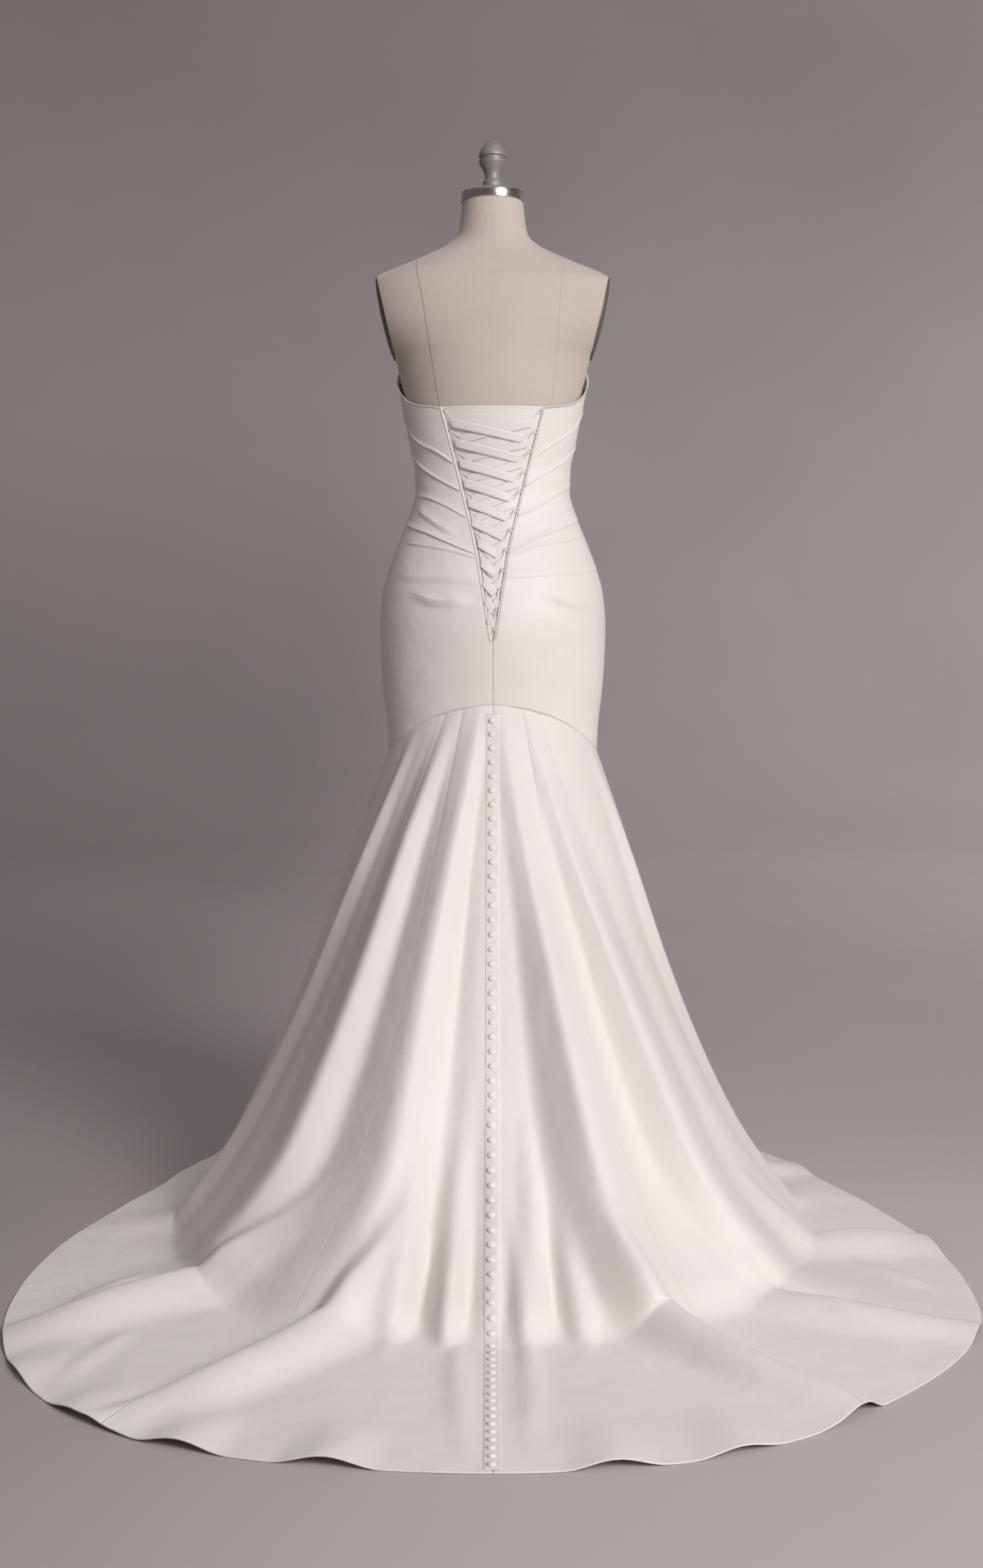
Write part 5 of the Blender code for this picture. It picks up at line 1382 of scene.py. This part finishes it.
def arm_frame(side):
    """The armhole's plane: its middle, its way up and its way out."""
    top, foot = (Vector((side * point.x, 0, point.z)) for point in (ARM_TOP, ARM_FOOT))
    up = (top - foot).normalized()
    return (top + foot) / 2, up, Vector((side * up.z, 0, -side * up.x))


def torso_points(turn, z):
    """Points of the linen cover. The neck leans forward above the shoulders."""
    tilt = NECK_LEAN * np.clip((z - LEAN_START_Z) / (TORSO_TOP_Z - LEAN_START_Z), 0, 1)
    points = body_point(turn, z, TORSO_OUT)
    points[..., 2] += (points[..., 1] - column(FIGURE, 4, z)) * np.tan(tilt)
    return points


def torso(name, node):
    """The padded torso, with both armholes cut flat."""
    rows, around = 170, 140
    z = np.linspace(TORSO_BOTTOM_Z, TORSO_TOP_Z, rows)
    turn = np.linspace(0, 2 * np.pi, around, endpoint=False)
    grid = torso_points(np.tile(turn, rows), np.repeat(z, around)).reshape(rows, around, 3)
    tube = swept("tube", grid)
    bm = bmesh.new()
    bm.from_mesh(tube)
    bpy.data.meshes.remove(tube)
    for side in (1, -1):
        middle, _, outward = arm_frame(side)
        cut = bmesh.ops.bisect_plane(bm, geom=bm.verts[:] + bm.edges[:] + bm.faces[:], plane_co=middle,
                                     plane_no=outward, clear_outer=True)
        rim = [edge for edge in cut["geom_cut"] if isinstance(edge, bmesh.types.BMEdge)]
        bmesh.ops.holes_fill(bm, edges=rim)
    bmesh.ops.recalc_face_normals(bm, faces=bm.faces[:])
    mesh = finished_mesh(bm, name)
    mesh.set_sharp_from_angle(angle=math.radians(40))
    points = mesh_values(mesh.vertices, "co")
    map_metres(mesh, points[:, 0] + points[:, 1] * 0.35, points[:, 2])
    left, right = (column(BACK_SEAMS, k, points[:, 2]) for k in (1, 2))
    map_metres(mesh, points[:, 0] - left, points[:, 0] + right, "seams")
    return add_piece(mesh, LINEN, node)


TORSO = torso("linen_torso", "form_torso")
print("torso faces:", len(TORSO.data.polygons))

# %% [markdown]
# ## Fittings and stand
# The metal cap, the finial, the armhole plates, the tube and the round foot are hard pieces. They could be
# stacked from cylinders, but each is turned on a lathe in the workshop. So each is a profile of its outline
# spun round its axis, rings and waist and all, with a sharp edge wherever the profile turns a corner.

# %% Cap and finial
CAP_RADIUS, CAP_HEIGHT = 0.0500, 0.0168
CAP_PROFILE = ((0, 0), (0.0488, 0), (CAP_RADIUS, 0.0008), (CAP_RADIUS, 0.0024), (0.0494, 0.0030),
               (0.0496, 0.0036), (0.0496, 0.0146), (0.0490, 0.0160), (0.0478, CAP_HEIGHT), (0, CAP_HEIGHT))
FINIAL_PROFILE = (
    (0, 0), (0.0192, 0), (0.0200, 0.0008), (0.0200, 0.0034), (0.0192, 0.0042), (0.0158, 0.0078),
    (0.0153, 0.0090), (0.0156, 0.0104), (0.0153, 0.0170), (0.0145, 0.0182), (0.0127, 0.0196),
    (0.0121, 0.0220), (0.0122, 0.0262), (0.0125, 0.0292), (0.0142, 0.0330), (0.0164, 0.0372),
    (0.0190, 0.0420), (0.0211, 0.0462), (0.0220, 0.0486), (0.0219, 0.0500), (0.0196, 0.0507),
    (0.0188, 0.0516), (0.0188, 0.0548), (0.0198, 0.0558), (0.0218, 0.0566), (0.0221, 0.0578),
    (0.0212, 0.0618), (0.0196, 0.0660), (0.0172, 0.0702), (0.0142, 0.0742), (0.0108, 0.0778),
    (0.0070, 0.0808), (0.0032, 0.0828), (0, 0.0835),
)


def on_neck(obj, lift):
    """Sets a turned piece on the leaning neck, with its place in its mesh."""
    neck = Vector((0, float(FIGURE[-1, 4]), TORSO_TOP_Z))
    upward = Vector((0, -math.sin(NECK_LEAN), math.cos(NECK_LEAN)))
    obj.data.transform(Matrix.Translation(neck + upward * lift) @ Matrix.Rotation(NECK_LEAN, 4, "X"))
    return obj


def fitting(name, profile, steps, material, node):
    """A turned fitting with its edges kept crisp."""
    obj = add_piece(turned_mesh(name, profile, steps), material, node)
    obj.data.set_sharp_from_angle(angle=math.radians(38))
    return obj


cap = on_neck(fitting("neck_cap", CAP_PROFILE, 96, CAP_METAL, "form_neck_cap"), SEAM_GAP)
finial = on_neck(fitting("turned_finial", FINIAL_PROFILE, 64, FINIAL_METAL, "form_finial"),
                 CAP_HEIGHT + 2 * SEAM_GAP)
print("on the neck:", cap.name, finial.name)

# %% [markdown]
# ### Armhole plates
# Dark oval plates close the armholes, where a padded arm could be hung. They could be cut from flat sheet,
# but each is a low dome with a step at its rim, so a turned disc is stretched to an oval and set on each cut.

# %% Armhole plates
PLATE_TALL, PLATE_DEEP, PLATE_THICK = 0.066, 0.048, 0.0075
PLATE_PROFILE = ((0, 0), (1.0, 0), (1.0, 0.30), (0.97, 0.42), (0.92, 0.47), (0.80, 0.66), (0.60, 0.84),
                 (0.30, 0.97), (0, 1.0))


def arm_plate(name, side, node):
    """One plate, stretched to an oval and set on its armhole."""
    obj = fitting(name, PLATE_PROFILE, 64, PLATE_METAL, node)
    middle, up, outward = arm_frame(side)
    sizes = Matrix.Diagonal((PLATE_TALL, PLATE_DEEP, PLATE_THICK, 1))
    turned = Matrix((up, outward.cross(up), outward)).transposed().to_4x4()
    obj.data.transform(Matrix.Translation(middle + outward * SEAM_GAP) @ turned @ sizes)
    return obj


PLATES = [arm_plate("armhole_plate_left", 1, "arm_plate_left"),
          arm_plate("armhole_plate_right", -1, "arm_plate_right")]
print("plates:", [plate.name for plate in PLATES])

# %% [markdown]
# ### Stand
# A steel tube stands in a heavy round foot and holds the torso. Both are hidden by the skirt, so they could
# be left out, but the dress form needs them to stand. They are turned, and the tube has a raised collar.

# %% Stand
POLE_RADIUS, BASE_RADIUS, BASE_HEIGHT, HUB_RADIUS, HUB_HEIGHT = 0.016, 0.180, 0.015, 0.028, 0.060
BASE_PROFILE = (
    (0, 0), (BASE_RADIUS - 0.002, 0), (BASE_RADIUS, 0.002), (BASE_RADIUS, 0.010),
    (BASE_RADIUS - 0.004, BASE_HEIGHT), (HUB_RADIUS + 0.010, BASE_HEIGHT + 0.002),
    (HUB_RADIUS + 0.003, BASE_HEIGHT + 0.006), (HUB_RADIUS, BASE_HEIGHT + 0.014),
    (HUB_RADIUS, HUB_HEIGHT - 0.002), (HUB_RADIUS - 0.002, HUB_HEIGHT), (0, HUB_HEIGHT),
)
POLE_PROFILE = (
    (0, HUB_HEIGHT + SEAM_GAP), (POLE_RADIUS, HUB_HEIGHT + SEAM_GAP), (POLE_RADIUS, 0.30),
    (POLE_RADIUS + 0.002, 0.302), (POLE_RADIUS + 0.002, 0.330), (POLE_RADIUS, 0.332),
    (POLE_RADIUS, TORSO_BOTTOM_Z - SEAM_GAP), (0, TORSO_BOTTOM_Z - SEAM_GAP),
)
foot = fitting("stand_foot", BASE_PROFILE, 96, STAND_STEEL, "stand_base")
pole = fitting("stand_tube", POLE_PROFILE, 32, STAND_STEEL, "stand_pole")
print("stand:", foot.name, pole.name)
